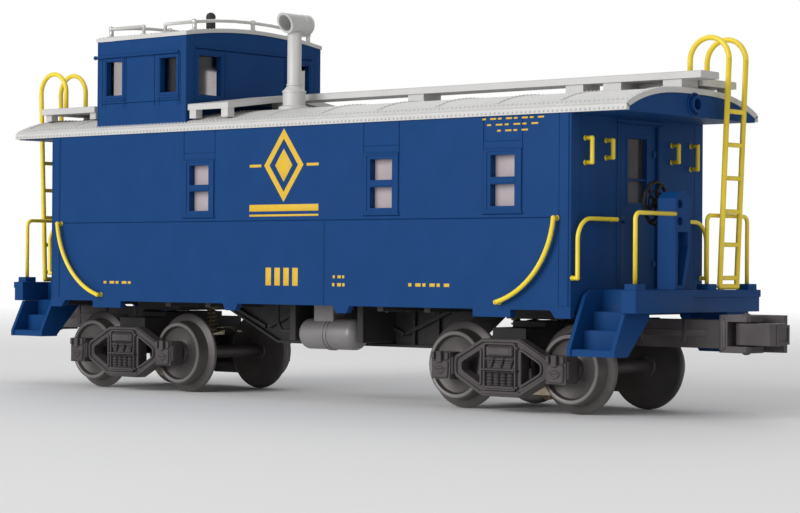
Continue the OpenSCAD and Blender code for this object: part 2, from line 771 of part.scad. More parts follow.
module brake_stand() {
    top = platform_z + stand_h;
    y0 = stand_y - stand_w / 2;
    y1 = stand_y + stand_w / 2;
    color(body_blue) difference() {
        sheet_yz(stand_x, stand_x + stand_l) polygon([
            [y0, platform_z], [y1 - 2.4, platform_z], [y1, platform_z + 10], [y1, top - 1.6],
            [y1 - 2, top], [y0 + 2, top], [y0, top - 1.6]
        ]);
        for (z = [top - 2.9, top - 6.8]) translate([stand_x + stand_l - 1, y0 + 1.8, z]) rotate([0, 90, 0])
            cylinder(h = 2, d = 2);
        sheet_yz(stand_x + stand_l / 2, stand_x + stand_l + 1) polygon([
            [y0 + 1, platform_z + 1], [y1 - 3.4, platform_z + 1], [y1 - 1, platform_z + 10],
            [y1 - 1, top - 9.3], [y0 + 1, top - 9.3]
        ]);
    }
}
module brake_stand_front() { at_end(true) brake_stand(); }
module brake_stand_rear() { at_end(false) brake_stand(); }

module brake_wheel() {
    rim_r = (brake_wheel_d - brake_rim_d) / 2;
    color(underframe_black) translate([brake_wheel_x, stand_y, brake_wheel_z]) rotate([0, 90, 0]) {
        rotate_extrude() translate([rim_r, 0]) circle(d = brake_rim_d, $fn = 24);
        for (i = [0:5]) rotate(i * 60) rod([0, 0, 0], [rim_r, 0, 0], 0.9);
        translate([0, 0, -0.7]) cylinder(h = stand_x - brake_wheel_x + 0.7, d = 2.4);
    }
}
module brake_wheel_front() { at_end(true) brake_wheel(); }
module brake_wheel_rear() { at_end(false) brake_wheel(); }

// ---- Grab irons ----

// Curved grab irons at the four corners of the side walls
module side_grabs() {
    grab_d = 1.1;
    grab_r = 22.5;
    stand_off = 1.4;
    start = -75;
    sweep = 69;
    color(rail_yellow) for (rear = [0, 1]) mirror([rear, 0, 0])
        translate([body_x - 26.3, -body_y - stand_off, sill_z + 23.4]) {
            rotate([90, 0, 0]) wire_arc(grab_r, start, sweep, grab_d);
            for (a = [start, start + sweep]) {
                tip = [grab_r * cos(a), 0, grab_r * sin(a)];
                translate(tip) sphere(d = 1.08 * grab_d);
                rod(tip, tip + [0, stand_off, 0], grab_d);
            }
        }
}
module side_grabs_right() { side_grabs(); }
module side_grabs_left() { mirror([0, 1, 0]) side_grabs(); }

// Two short upright handles and one long curved grab iron on each side of the door
module end_grabs() {
    handle_x = body_x + 2;
    grab_d = 1;
    grab_x = body_x + 1.5;
    turn_r = 5;
    door_side_y = door_w / 2 + 3.7;
    grab_y = body_y - 0.6;
    low_z = sill_z + 7.4;
    grab_z = sill_z + 21;
    color(rail_yellow) both_sides() {
        for (h = [[body_y - 5.3, 33.8, 39.4], [body_y - 13.5, 35.2, 39.2]])
            wire([[body_x, h[0], sill_z + h[1]], [handle_x, h[0], sill_z + h[1]],
                  [handle_x, h[0], sill_z + h[2]], [body_x, h[0], sill_z + h[2]]], grab_d);
        wire([[body_x, door_side_y, grab_z], [grab_x, door_side_y, grab_z],
              [grab_x, grab_y - turn_r, grab_z]], grab_d);
        translate([grab_x, grab_y - turn_r, grab_z - turn_r]) rotate([90, 0, 90])
            wire_arc(turn_r, 0, 90, grab_d);
        wire([[grab_x, grab_y, grab_z - turn_r], [grab_x, grab_y, low_z], [body_x, grab_y, low_z]], grab_d);
    }
}
module end_grabs_front() { at_end(true) end_grabs(); }
module end_grabs_rear() { at_end(false) end_grabs(); }

// ---- Trucks ----

module kingpin() {
    kingpin_head_h = 1.2;
    color(brass) translate([truck_x, 0, 0]) {
        translate([0, 0, bolster_z - bolster_h - moving_gap - 0.1])
            cylinder(h = pad_z - bolster_z + bolster_h + moving_gap + 0.1, d = kingpin_d);
        translate([0, 0, bolster_z - bolster_h - moving_gap - kingpin_head_h])
            cylinder(h = kingpin_head_h, d = kingpin_d + 2.4);
    }
}
module kingpin_front() { at_end(true) kingpin(); }
module kingpin_rear() { at_end(false) kingpin(); }

// The beam across a truck that turns on the kingpin
module truck_bolster() {
    color(truck_grey) translate([truck_x, 0, bolster_z - bolster_h]) difference() {
        union() {
            block([-bolster_l / 2, -side_frame_y, 0], [bolster_l / 2, side_frame_y, bolster_h - 1.5]);
            block([-bolster_l / 2, -11, 0], [bolster_l / 2, 11, bolster_h]);
        }
        translate([0, 0, -1]) cylinder(h = bolster_h + 2, d = kingpin_d + 2 * running_gap);
    }
}
module truck_bolster_front() { at_end(true) truck_bolster(); }
module truck_bolster_rear() { at_end(false) truck_bolster(); }

// A pressed side frame with an axle box at each end, drawn for the right side of the front truck
module side_frame() {
    box_x = wheelbase / 2;
    end_x = box_x - axle_box_w / 2 + 0.1;
    bar_x = 5.6;
    outline = [
        [-bar_x, 6.7], [bar_x, 6.7], [end_x, 2.2], [end_x, -2.2], [bar_x, -6.9], [-bar_x, -6.9],
        [-end_x, -2.2], [-end_x, 2.2]
    ];
    color(truck_grey) translate([truck_x, 0, axle_z]) difference() {
        union() {
            sheet_xz(-side_frame_y - side_frame_t, -side_frame_y) difference() {
                polygon(outline);
                for (side = [-1, 1])
                    polygon([
                        [side * (bar_x + 0.4), 4], [side * (end_x - 2.6), 0.9],
                        [side * (end_x - 2.6), -0.9], [side * (bar_x + 0.4), -4]
                    ]);
            }
            for (side = [-1, 1]) translate([side * box_x, -side_frame_y, 0])
                block([-axle_box_w / 2, -side_frame_t - box_out, -axle_box_h / 2],
                      [axle_box_w / 2, 0, axle_box_h / 2]);
        }
        for (side = [-1, 1]) translate([side * box_x, -side_frame_y - journal_l, 0]) rotate([-90, 0, 0])
            cylinder(h = journal_l + 1, d = journal_d + 2 * running_gap);
    }
}
module side_frame_front_right() { side_frame(); }
module side_frame_front_left() { mirror([0, 1, 0]) side_frame(); }
module side_frame_rear_right() { mirror([1, 0, 0]) side_frame(); }
module side_frame_rear_left() { rotate(180) side_frame(); }

// Two wheels on their axle, turned from one profile: x is the radius, y the distance from the middle
module wheelset(x) {
    tread_r = flange_d / 2 - flange_h;
    tip_y = side_frame_y + journal_l - 0.4;
    half = [
        [axle_d / 2, wheel_y], [flange_d / 2 - 0.5, wheel_y],
        [flange_d / 2, wheel_y + 0.5], [flange_d / 2 - 0.3, wheel_y + flange_t], [tread_r, wheel_y + 1.6],
        [tread_r - 0.3, wheel_face_y], [tread_r - 1.3, wheel_face_y], [tread_r - 1.8, wheel_face_y - 1],
        [3.2, wheel_face_y - 1.4], [2.6, wheel_face_y - 0.2], [journal_d / 2, wheel_face_y - 0.2],
        [journal_d / 2, tip_y], [0, tip_y]
    ];
    color(truck_grey) translate([x, 0, axle_z]) rotate([-90, 0, 0]) rotate_extrude($fn = 96)
        polygon(concat(half, [for (p = reversed(half)) [p[0], -p[1]]]));
}
module wheelset_front_outer() { wheelset(truck_x + wheelbase / 2); }
module wheelset_front_inner() { wheelset(truck_x - wheelbase / 2); }
module wheelset_rear_inner() { wheelset(wheelbase / 2 - truck_x); }
module wheelset_rear_outer() { wheelset(-truck_x - wheelbase / 2); }

// The current pickup: a sprung post on a shelf of the bolster, and a roller under the truck
module pickup() {
    roller_d = 5.6;
    roller_z = roller_d / 2 + flange_h + 0.2;
    bolster_low = bolster_z - bolster_h;
    post_d = 1.6;
    post_x = max(bolster_l / 2 + 7.1, pad_half_l + 2 * post_d);
    color(brass) translate([truck_x, 0, 0]) {
        block([-post_x - 1.9, -3, bolster_low + 0.6], [-bolster_l / 2, 3, bolster_low + 1.8]);
        translate([-post_x, 0, bolster_low + 1.7]) cylinder(h = 7.4, d = post_d);
    }
    color(truck_grey) translate([truck_x, 0, 0]) {
        both_sides() block([-3.6, 4.6, roller_z - 1.6], [3.6, 5.4, bolster_low]);
        translate([0, -4.7, roller_z]) rotate([-90, 0, 0]) cylinder(h = 9.4, d = 1.4);
        translate([0, -4, roller_z]) rotate([-90, 0, 0]) cylinder(h = 8, d = roller_d);
    }
}
module pickup_front() { at_end(true) pickup(); }
module pickup_rear() { at_end(false) pickup(); }

// The coupler: a shank on the bolster, and a head with ears and a pin for the knuckle
module coupler() {
    color(truck_grey) difference() {
        union() {
            block([truck_x + bolster_l / 2, -shank_w / 2, bolster_z - 5],
                  [shank_x + 0.1, shank_w / 2, bolster_z - 0.6]);
            block([shank_x, -shank_w / 2, shank_z], [head_x + 0.1, shank_w / 2, shank_z + shank_h]);
            translate([0, 0, head_low_z]) linear_extrude(head_h) polygon([
                [head_x, -head_w / 2 + 1], [head_x + 1, -head_w / 2], [knuckle_x + 1.6, -head_w / 2],
                [knuckle_x + 2.2, -head_w / 2 + 1], [knuckle_x + 2.2, 0.2], [knuckle_x - 0.4, 1.6],
                [knuckle_x - 0.4, head_w / 2 - 2.6], [knuckle_x + 5.2, head_w / 2 - 2.2],
                [knuckle_x + 5.2, head_w / 2 - 0.8], [knuckle_x - 1, head_w / 2], [head_x + 1, head_w / 2],
                [head_x, head_w / 2 - 1]
            ]);
        }
        block([knuckle_x - 3.4, -head_w / 2 - 1, head_low_z + ear_t],
              [knuckle_x + 3, 2, head_low_z + head_h - ear_t]);
    }
    color(truck_grey) translate([knuckle_x, knuckle_y, head_low_z + 0.3])
        cylinder(h = head_h - 0.6, d = knuckle_pin_d);
}
module coupler_front() { at_end(true) coupler(); }
module coupler_rear() { at_end(false) coupler(); }

// The knuckle: a hooked arm that turns on the pin between the head's ears
module knuckle() {
    gap = 0.25;
    low = head_low_z + ear_t + gap;
    high = head_low_z + head_h - ear_t - gap;
    tip_x = coupler_tip_x - knuckle_x;
    color(truck_grey) translate([knuckle_x, knuckle_y, low]) difference() {
        union() {
            cylinder(h = high - low, d = 4.6);
            linear_extrude(high - low) polygon([
                [0, -2.3], [tip_x - 1, -2.3], [tip_x, -1.3], [tip_x, 3.6], [tip_x - 1, 4.6],
                [tip_x - 3, 4.6], [tip_x - 3, 1.6], [tip_x - 4, 0.9], [2, 0.9], [0, 2.2]
            ]);
        }
        translate([0, 0, -1]) cylinder(h = high - low + 2, d = knuckle_pin_d + 2 * running_gap);
    }
}
module knuckle_front() { at_end(true) knuckle(); }
module knuckle_rear() { at_end(false) knuckle(); }

floor_pan();
centre_sill();
air_tank();
side_wall_right();
side_wall_left();
end_wall_front();
end_wall_rear();
window_glass();
door_glass();
main_roof();
gable_front();
gable_rear();
cupola_side_right();
cupola_side_left();
cupola_end_front();
cupola_end_rear();
cupola_glass();
cupola_roof();
cupola_rails();
cupola_vent();
smoke_jack();
roofwalk_front();
roofwalk_rear();
ladder_front();
ladder_rear();
platform_front();
platform_rear();
steps_front();
steps_rear();
railing_front();
railing_rear();
brake_stand_front();
brake_stand_rear();
brake_wheel_front();
brake_wheel_rear();
side_grabs_right();
side_grabs_left();
end_grabs_front();
end_grabs_rear();
kingpin_front();
kingpin_rear();
truck_bolster_front();
truck_bolster_rear();
side_frame_front_right();
side_frame_front_left();
side_frame_rear_right();
side_frame_rear_left();
wheelset_front_outer();
wheelset_front_inner();
wheelset_rear_inner();
wheelset_rear_outer();
pickup_front();
pickup_rear();
coupler_front();
coupler_rear();
knuckle_front();
knuckle_rear();
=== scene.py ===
"""The looks of an O gauge model caboose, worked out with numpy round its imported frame.

X runs along the car towards its front platform, Y across it and Z up from the bottom of the wheel flanges.
Shapes are worked out in millimetres and put into meshes in metres. Everything at an end is drawn for the
front end, and turned half round for the rear one.
"""

import json
import logging
import math
from dataclasses import dataclass, field
from enum import Enum
from typing import Callable, Iterable, Sequence

import bmesh
import bpy
import numpy as np
from mathutils import Matrix, Vector


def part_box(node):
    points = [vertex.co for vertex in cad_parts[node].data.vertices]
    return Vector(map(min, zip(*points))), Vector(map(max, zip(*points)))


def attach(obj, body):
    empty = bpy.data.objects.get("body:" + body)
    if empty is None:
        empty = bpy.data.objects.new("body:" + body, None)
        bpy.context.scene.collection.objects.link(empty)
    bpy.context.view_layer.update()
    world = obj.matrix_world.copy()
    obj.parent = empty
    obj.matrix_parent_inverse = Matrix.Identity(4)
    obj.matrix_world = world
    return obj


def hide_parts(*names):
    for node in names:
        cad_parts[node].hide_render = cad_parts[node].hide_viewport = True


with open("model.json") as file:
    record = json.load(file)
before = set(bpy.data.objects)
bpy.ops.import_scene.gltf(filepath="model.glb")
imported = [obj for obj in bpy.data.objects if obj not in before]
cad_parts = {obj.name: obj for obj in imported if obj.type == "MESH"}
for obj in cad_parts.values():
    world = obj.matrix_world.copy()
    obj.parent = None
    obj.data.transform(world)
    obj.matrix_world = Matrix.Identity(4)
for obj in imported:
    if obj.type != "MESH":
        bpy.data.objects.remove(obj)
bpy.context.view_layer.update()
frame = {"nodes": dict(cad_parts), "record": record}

logging.basicConfig(level=logging.INFO, format="%(message)s")
LOG = logging.getLogger("caboose")

MM = 0.001
X_AXIS = np.array([1.0, 0.0, 0.0])
Y_AXIS = np.array([0.0, 1.0, 0.0])
Z_AXIS = np.array([0.0, 0.0, 1.0])
Colour = tuple[float, float, float]


# ---- Finishes ----


@dataclass(frozen=True)
class Finish:
    """A painted, moulded or turned surface.

    The colour drifts between two close tones over a few millimetres, a fine grain gives the bump and the
    gloss its unevenness, and a per-point attribute on the mesh, from 0 to 1, brings in a third colour:
    painted shade in scribed grooves and a painted highlight on the wheels' rims.
    """

    name: str
    colour: Colour
    mottle: Colour
    # The third colour: painted shade for scribed grooves, painted highlight for wheel rims.
    accent: Colour
    roughness: float = 0.45
    metallic: float = 0.0
    gloss: float = 0.3
    coat: float = 0.0
    drift: float = 9.0
    grain: float = 0.35
    bump: float = 0.02
    slot: str = ""

    def material(self) -> bpy.types.Material:
        """The finish as a node material, made once.

        Returns:
            The Blender material.
        """
        label = "finish_" + self.name
        made = bpy.data.materials.get(label)
        if made is not None:
            return made
        made = bpy.data.materials.new(label)
        made.use_nodes = True
        made.diffuse_color = (*self.colour, 1.0)
        tree = made.node_tree
        shader = tree.nodes["Principled BSDF"]
        shader.inputs["Metallic"].default_value = self.metallic
        shader.inputs["Specular IOR Level"].default_value = self.gloss
        shader.inputs["Coat Weight"].default_value = self.coat
        shader.inputs["Coat Roughness"].default_value = 0.25
        place = tree.nodes.new("ShaderNodeTexCoord").outputs["Object"]
        broad = self._noise(tree, place, self.drift, 3.0)
        fine = self._noise(tree, place, self.grain, 2.0)
        tone = self._mix(tree, self._spread(tree, broad, 0.35, 0.65, 0.0, 1.0), self.colour, self.mottle)
        # A per-point share of painted shade (scribed grooves) and painted highlight (wheel rims) brings in the third
        # colour.
        mark = tree.nodes.new("ShaderNodeAttribute")
        mark.attribute_name = "accent"
        painted = self._mix(tree, mark.outputs["Fac"], tone, self.accent)
        tree.links.new(painted, shader.inputs["Base Color"])
        gloss = self._spread(tree, fine, 0.3, 0.7, self.roughness - 0.05, self.roughness + 0.06)
        tree.links.new(gloss, shader.inputs["Roughness"])
        bump = tree.nodes.new("ShaderNodeBump")
        bump.inputs["Strength"].default_value = 0.5
        bump.inputs["Distance"].default_value = self.bump * MM
        tree.links.new(fine, bump.inputs["Height"])
        tree.links.new(bump.outputs["Normal"], shader.inputs["Normal"])
        return made

    @staticmethod
    def _noise(
        tree: bpy.types.NodeTree, place: bpy.types.NodeSocket, cell: float, detail: float
    ) -> bpy.types.NodeSocket:
        """Noise with cells of about that many millimetres, on the object's own coordinates."""
        node = tree.nodes.new("ShaderNodeTexNoise")
        node.inputs["Scale"].default_value = 1.0 / (cell * MM)
        node.inputs["Detail"].default_value = detail
        tree.links.new(place, node.inputs["Vector"])
        return node.outputs["Fac"]

    @staticmethod
    def _spread(
        tree: bpy.types.NodeTree, value: bpy.types.NodeSocket, low: float, high: float, to_low: float, to_high: float
    ) -> bpy.types.NodeSocket:
        """The value with low..high carried to to_low..to_high."""
        node = tree.nodes.new("ShaderNodeMapRange")
        for name, number in (("From Min", low), ("From Max", high), ("To Min", to_low), ("To Max", to_high)):
            node.inputs[name].default_value = number
        tree.links.new(value, node.inputs["Value"])
        return node.outputs["Result"]

    @staticmethod
    def _mix(
        tree: bpy.types.NodeTree, share: bpy.types.NodeSocket, a: bpy.types.NodeSocket | Colour, b: Colour
    ) -> bpy.types.NodeSocket:
        """Colour a, leaning to colour b by share."""
        node = tree.nodes.new("ShaderNodeMix")
        node.data_type = "RGBA"
        tree.links.new(share, node.inputs["Factor"])
        if isinstance(a, bpy.types.NodeSocket):
            tree.links.new(a, node.inputs["A"])
        else:
            node.inputs["A"].default_value = (*a, 1.0)
        node.inputs["B"].default_value = (*b, 1.0)
        return node.outputs["Result"]


@dataclass(frozen=True)
class Glazing(Finish):
    """A clear or frosted pane: the same nodes, with light let through."""

    clear: float = 1.0

    def material(self) -> bpy.types.Material:
        """The pane's material, with its share of clear transmission on the shader's own socket.

        Returns:
            The Blender material.
        """
        made = super().material()
        shader = made.node_tree.nodes["Principled BSDF"]
        shader.inputs["Transmission Weight"].default_value = self.clear
        shader.inputs["IOR"].default_value = 1.45
        return made


class Paint(Enum):
    """The finishes on the car."""

    # Third colour: painted shade, a deeper blue, in the scribed grooves of walls, cupola and deck.
    BODY = Finish(
        "body_blue", (0.0045, 0.047, 0.170), (0.0055, 0.051, 0.182), (0.002, 0.010, 0.042), 0.48, gloss=0.12,
        grain=0.28, bump=0.012,
    )
    # Third colour: painted shade in the scribed seams of the cross landing's boards.
    ROOF = Finish(
        "roof_silver", (0.575, 0.57, 0.56), (0.605, 0.60, 0.59), (0.30, 0.29, 0.28), 0.5, 0.12, grain=0.3,
        bump=0.03,
    )
    RAIL = Finish(
        "rail_yellow", (0.88, 0.66, 0.03), (0.93, 0.72, 0.05), (0.42, 0.30, 0.02), 0.34, coat=0.3, drift=4.0,
    )
    GOLD = Finish(
        "marking_gold", (0.70, 0.44, 0.03), (0.75, 0.48, 0.04), (0.4, 0.25, 0.02), 0.5, drift=3.0,
        slot="rail_yellow",
    )
    RAIL_SILVER = Finish(
        "rail_silver", (0.62, 0.61, 0.58), (0.70, 0.69, 0.66), (0.3, 0.3, 0.3), 0.3, 0.5, drift=4.0,
    )
    TRUCK = Finish(
        "truck_grey", (0.066, 0.058, 0.060), (0.090, 0.080, 0.082), (0.16, 0.145, 0.145), 0.5, 0.25, grain=0.3,
        bump=0.035,
    )
    # Third colour: a painted highlight, a lighter steel, on the rims' edges and flange tips.
    WHEEL = Finish(
        "wheel_steel", (0.098, 0.090, 0.088), (0.120, 0.110, 0.108), (0.21, 0.20, 0.195), 0.44, 0.45, drift=5.0,
    )
    # Painted shade: a darker copy of the truck grey, for the bolster in shade between the side frames.
    BOLSTER = Finish(
        "bolster_dark", (0.018, 0.017, 0.018), (0.028, 0.026, 0.027), (0.05, 0.05, 0.05), 0.55, grain=0.4,
        slot="truck_grey",
    )
    UNDERFRAME = Finish(
        "underframe_black", (0.028, 0.026, 0.027), (0.040, 0.037, 0.038), (0.06, 0.06, 0.06), 0.5, grain=0.4,
    )
    TANK = Finish("tank_grey", (0.22, 0.205, 0.208), (0.25, 0.235, 0.238), (0.1, 0.1, 0.1), 0.36, 0.2)
    BRAKE = Finish(
        "brake_black", (0.008, 0.008, 0.010), (0.014, 0.014, 0.017), (0.04, 0.04, 0.04), 0.42, gloss=0.2, drift=3.0,
    )
    BRASS = Finish("pin_brass", (0.55, 0.46, 0.34), (0.64, 0.54, 0.40), (0.3, 0.22, 0.14), 0.28, 0.9, drift=2.0)
    PANE = Glazing(
        "glazing", (0.50, 0.43, 0.45), (0.56, 0.49, 0.505), (0.3, 0.28, 0.28), 0.32, drift=6.0, bump=0.006,
        clear=0.12,
    )
    PANE_CLEAR = Glazing(
        "glazing_clear", (0.93, 0.89, 0.90), (0.96, 0.93, 0.94), (0.8, 0.8, 0.8), 0.08, drift=6.0, bump=0.001,
        clear=1.0, slot="glazing",
    )
    PANE_DARK = Glazing(
        "glazing_dark", (0.16, 0.15, 0.155), (0.20, 0.19, 0.195), (0.1, 0.1, 0.1), 0.12, drift=6.0, bump=0.001,
        clear=0.75, slot="glazing",
    )

    @property
    def slot(self) -> str:
        """The record's material slot."""
        return self.value.slot or self.value.name

    @property
    def finish(self) -> Finish:
        """The finish itself."""
        return self.value

    @classmethod
    def of_slot(cls, slot: str) -> "Paint":
        """The first finish that the record's slot names."""
        return next(paint for paint in cls if paint.slot == slot)


# ---- Shapes ----


class Shape:
    """A mesh in the making: points in millimetres, faces as arrays of indices, and for each point its share of painted
    shade or painted highlight.
    """

    def __init__(self, points: np.ndarray, faces: Sequence[np.ndarray], accent: np.ndarray | None = None) -> None:
        """Keeps the arrays.

        Args:
            points: The corner points, one to a row.
            faces: Index arrays, one face to a row, with rows of equal length in each array.
            accent: How far each point takes the finish's third colour, painted shade in grooves or painted highlight on
                rims; none of it if left out.
        """
        self.points = np.asarray(points, float).reshape(-1, 3)
        self.faces = [np.asarray(f, int) for f in faces if len(f)]
        self.accent = np.zeros(len(self.points)) if accent is None else np.asarray(accent, float).ravel()

    @staticmethod
    def union(shapes: Iterable["Shape"]) -> "Shape":
        """All the shapes as one, side by side."""
        shapes = list(shapes)
        starts = np.cumsum([0] + [len(s.points) for s in shapes])
        faces = [f + start for s, start in zip(shapes, starts) for f in s.faces]
        return Shape(np.concatenate([s.points for s in shapes]), faces, np.concatenate([s.accent for s in shapes]))

    def mapped(self, matrix: np.ndarray, shift: Sequence[float] = (0.0, 0.0, 0.0)) -> "Shape":
        """The shape with every point multiplied by the matrix and then moved; a mirror turns its faces over."""
        over = np.linalg.det(matrix) < 0
        faces = [f[:, ::-1] if over else f for f in self.faces]
        return Shape(self.points @ np.asarray(matrix, float).T + np.asarray(shift, float), faces, self.accent)

    def moved(self, x: float = 0.0, y: float = 0.0, z: float = 0.0) -> "Shape":
        """The shape, shifted."""
        return self.mapped(np.eye(3), (x, y, z))

    def mirrored(self, axis: int) -> "Shape":
        """The shape as seen in a mirror across the car (axis 1) or along it (axis 0)."""
        matrix = np.eye(3)
        matrix[axis, axis] = -1.0
        return self.mapped(matrix)

    def turned(self) -> "Shape":
        """The shape turned half round about the upright."""
        return self.mapped(np.diag([-1.0, -1.0, 1.0]))

    def both_sides(self) -> "Shape":
        """The shape with its mirror image on the car's other side."""
        return Shape.union([self, self.mirrored(1)])


def grid(
    points: np.ndarray, wrap_rows: bool = False, wrap_cols: bool = False, accent: np.ndarray | None = None
) -> Shape:
    """A surface over a rectangular grid of points: each cell is one four-sided face.

    Args:
        points: Array of rows by columns by 3.
        wrap_rows: Joins the last row to the first.
        wrap_cols: Joins the last column to the first.
        accent: Array of rows by columns, each point's share of painted shade or painted highlight.

    Returns:
        The surface.
    """
    rows, cols = points.shape[:2]
    i, j = np.meshgrid(np.arange(rows - (not wrap_rows)), np.arange(cols - (not wrap_cols)), indexing="ij")
    down, right = (i + 1) % rows, (j + 1) % cols
    faces = np.stack([i * cols + j, i * cols + right, down * cols + right, down * cols + j], -1)
    return Shape(points, [faces.reshape(-1, 4)], accent)


def capped(points: np.ndarray) -> Shape:
    """A tube of rings of points, closed by a flat face over its first and last ring."""
    body = grid(points, wrap_cols=True)
    sides = points.shape[1]
    last = (points.shape[0] - 1) * sides
    caps = np.stack([np.arange(sides)[::-1], last + np.arange(sides)])
    return Shape(body.points, [*body.faces, caps])


def unit(vectors: np.ndarray) -> np.ndarray:
    """The vectors, each brought to length 1."""
    return vectors / np.maximum(np.linalg.norm(vectors, axis=-1, keepdims=True), 1e-12)


def circle(radius: float, sides: int = 12) -> np.ndarray:
    """A round section: radius times the cosine and sine of equal angles."""
    angle = np.linspace(0.0, 2 * math.pi, sides, endpoint=False)
    return radius * np.stack([np.cos(angle), np.sin(angle)], -1)


def sweep(path: np.ndarray, section: np.ndarray, up: np.ndarray, closed: bool = False) -> Shape:
    """A section carried along a path.

    Each point is path(s) + side(s) * x / cos(half the bend at s) + raised(s) * y, where side is the path's
    direction crossed with up, so that corners in the plane across up are mitred.

    Args:
        path: Points along the path, one to a row.
        section: Points round the section, as x across and y along up.
        up: The direction that y of the section keeps to.
        closed: Joins the path's end to its start.

    Returns:
        The swept solid, with flat ends if the path is open.
    """
    path = np.asarray(path, float)
    ahead = unit(np.roll(path, -1, 0) - path)
    behind = unit(path - np.roll(path, 1, 0))
    if not closed:
        ahead[-1] = behind[-1]
        behind[0] = ahead[0]
    tangent = unit(ahead + behind)
    stretch = 1.0 / np.maximum(np.sum(tangent * ahead, -1), 0.4)
    side = unit(np.cross(tangent, up))
    raised = np.cross(side, tangent)
    across = side * stretch[:, None]
    points = path[:, None] + across[:, None] * section[None, :, :1] + raised[:, None] * section[None, :, 1:]
    return grid(points, wrap_rows=True, wrap_cols=True) if closed else capped(points)


def tube(
    path: Sequence[Sequence[float]], radius: float, up: np.ndarray = Z_AXIS, sides: int = 12, closed: bool = False
) -> Shape:
    """A round wire along a path."""
    return sweep(np.asarray(path, float), circle(radius, sides), up, closed)


def frame_of(axis: np.ndarray) -> tuple[np.ndarray, np.ndarray]:
    """Two unit directions across an axis, which make a right-handed set with it."""
    axis = unit(np.asarray(axis, float))
    helper = X_AXIS if abs(axis[0]) < 0.7 else Y_AXIS
    first = unit(np.cross(helper, axis))
    return first, np.cross(axis, first)


def revolve(
    profile: Sequence[Sequence[float]], origin: Sequence[float], axis: np.ndarray, sides: int = 48,
    ring: bool = False, accent: Sequence[float] | None = None,
) -> Shape:
    """A profile turned about an axis: origin + axis * along + radius * (u * cos(a) + v * sin(a)).

    Args:
        profile: Pairs of radius and distance along the axis.
        origin: A point on the axis.
        axis: The axis's direction.
        sides: How many steps to a full turn.
        ring: The profile is a closed loop, as for a ring.
        accent: The share of the finish's painted shade or painted highlight at each point of the profile.

    Returns:
        The turned solid.
    """
    profile = np.asarray(profile, float)
    u, v = frame_of(axis)
    angle = np.linspace(0.0, 2 * math.pi, sides, endpoint=False)
    spoke = np.cos(angle)[:, None] * u + np.sin(angle)[:, None] * v
    points = np.asarray(origin, float) + profile[:, None, 1:] * axis + profile[:, None, :1] * spoke
    shade = None if accent is None else np.repeat(np.asarray(accent, float)[:, None], sides, 1)
    return grid(points, wrap_rows=ring, wrap_cols=True, accent=shade)


def inset(outline: np.ndarray, depth: float) -> np.ndarray:
    """An anticlockwise outline drawn in by depth: each corner moves by depth * (n1 + n2) / (1 + n1.n2)."""
    along = unit(np.roll(outline, -1, 0) - outline)
    normal = np.stack([-along[:, 1], along[:, 0]], -1)
    before = np.roll(normal, 1, 0)
    return outline + depth * (normal + before) / (1 + np.sum(normal * before, -1, keepdims=True))


def slab(
    outline: Sequence[
        Sequence[float]
    ], depth: float, bevel: float, origin: Sequence[float], across: np.ndarray, up: np.ndarray
) -> Shape:
    """A flat plate with bevelled rims: origin + across * u + up * v + (across x up) * w, w from 0 to depth.

    Args:
        outline: The plate's corners, anticlockwise, as u and v.
        depth: Its thickness.
        bevel: The width of the bevel round its outer face.
        origin: Where u, v and w are 0.
        across: The direction of u.
        up: The direction of v.

    Returns:
        The plate.
    """
    outline = np.asarray(outline, float)
    levels = ((outline, 0.0), (outline, depth - bevel), (inset(outline, bevel), depth))
    flat = np.stack([np.concatenate([ring, np.full((len(ring), 1), w)], -1) for ring, w in levels])
    return capped(flat @ np.stack([across, up, np.cross(across, up)]) + np.asarray(origin, float))


def block(low: Sequence[float], high: Sequence[float], bevel: float = 0.12) -> Shape:
    """A box whose edges are all bevelled: four rings of eight points, drawn in at the top and bottom."""
    low, high = np.asarray(low, float), np.asarray(high, float)

    def ring(draw: float, z: float) -> np.ndarray:
        """The box's outline at height z, drawn in, with its corners cut."""
        x0, y0 = low[:2] + draw
        x1, y1 = high[:2] - draw
        b = bevel
        flat = [
            (x0 + b, y0), (x1 - b, y0), (x1, y0 + b), (x1, y1 - b), (x1 - b, y1), (x0 + b, y1), (x0, y1 - b),
            (x0, y0 + b)
        ]
        return np.array([(x, y, z) for x, y in flat])

    levels = ((bevel, low[2]), (0.0, low[2] + bevel), (0.0, high[2] - bevel), (bevel, high[2]))
    return capped(np.stack([ring(*level) for level in levels]))


def rivets(seats: np.ndarray, out: np.ndarray, radius: float = 0.3, rise: float = 0.2, sides: int = 7) -> Shape:
    """Round heads, all alike: seat + r(k) * (u * cos(a) + v * sin(a)) + h(k) * out, over a few levels k.

    Args:
        seats: Where each head sits, one to a row.
        out: The way each head points, one for all or one to a row.
        radius: A head's radius.
        rise: A head's height.
        sides: Steps round a head.

    Returns:
        All the heads as one shape.
    """
    seats = np.asarray(seats, float).reshape(-1, 3)
    out = unit(np.broadcast_to(np.asarray(out, float), seats.shape))
    helper = np.where(np.abs(out[:, :1]) < 0.7, X_AXIS, Y_AXIS)
    u = unit(np.cross(helper, out))
    v = np.cross(out, u)
    levels = np.array([(1.0, -0.3), (1.0, 0.15), (0.8, 0.68), (0.42, 1.0)]) * (radius, rise)
    turn = circle(1.0, sides)
    spoke = u[:, None] * turn[None, :, :1] + v[:, None] * turn[None, :, 1:]
    points = seats[:, None, None] + levels[
        None, :, None, :1
    ] * spoke[:, None] + levels[None, :, None, 1:] * out[:, None, None]
    one = capped(points[0])
    count = len(levels) * sides
    starts = count * np.arange(len(seats))[:, None, None]
    return Shape(points, [(f[None] + starts).reshape(-1, f.shape[1]) for f in one.faces])


def row(start: Sequence[float], end: Sequence[float], pitch: float) -> np.ndarray:
    """Points at about that pitch on a straight line, both ends included."""
    start, end = np.asarray(start, float), np.asarray(end, float)
    count = max(2, int(round(np.linalg.norm(end - start) / pitch)) + 1)
    return start + (end - start) * np.linspace(0.0, 1.0, count)[:, None]


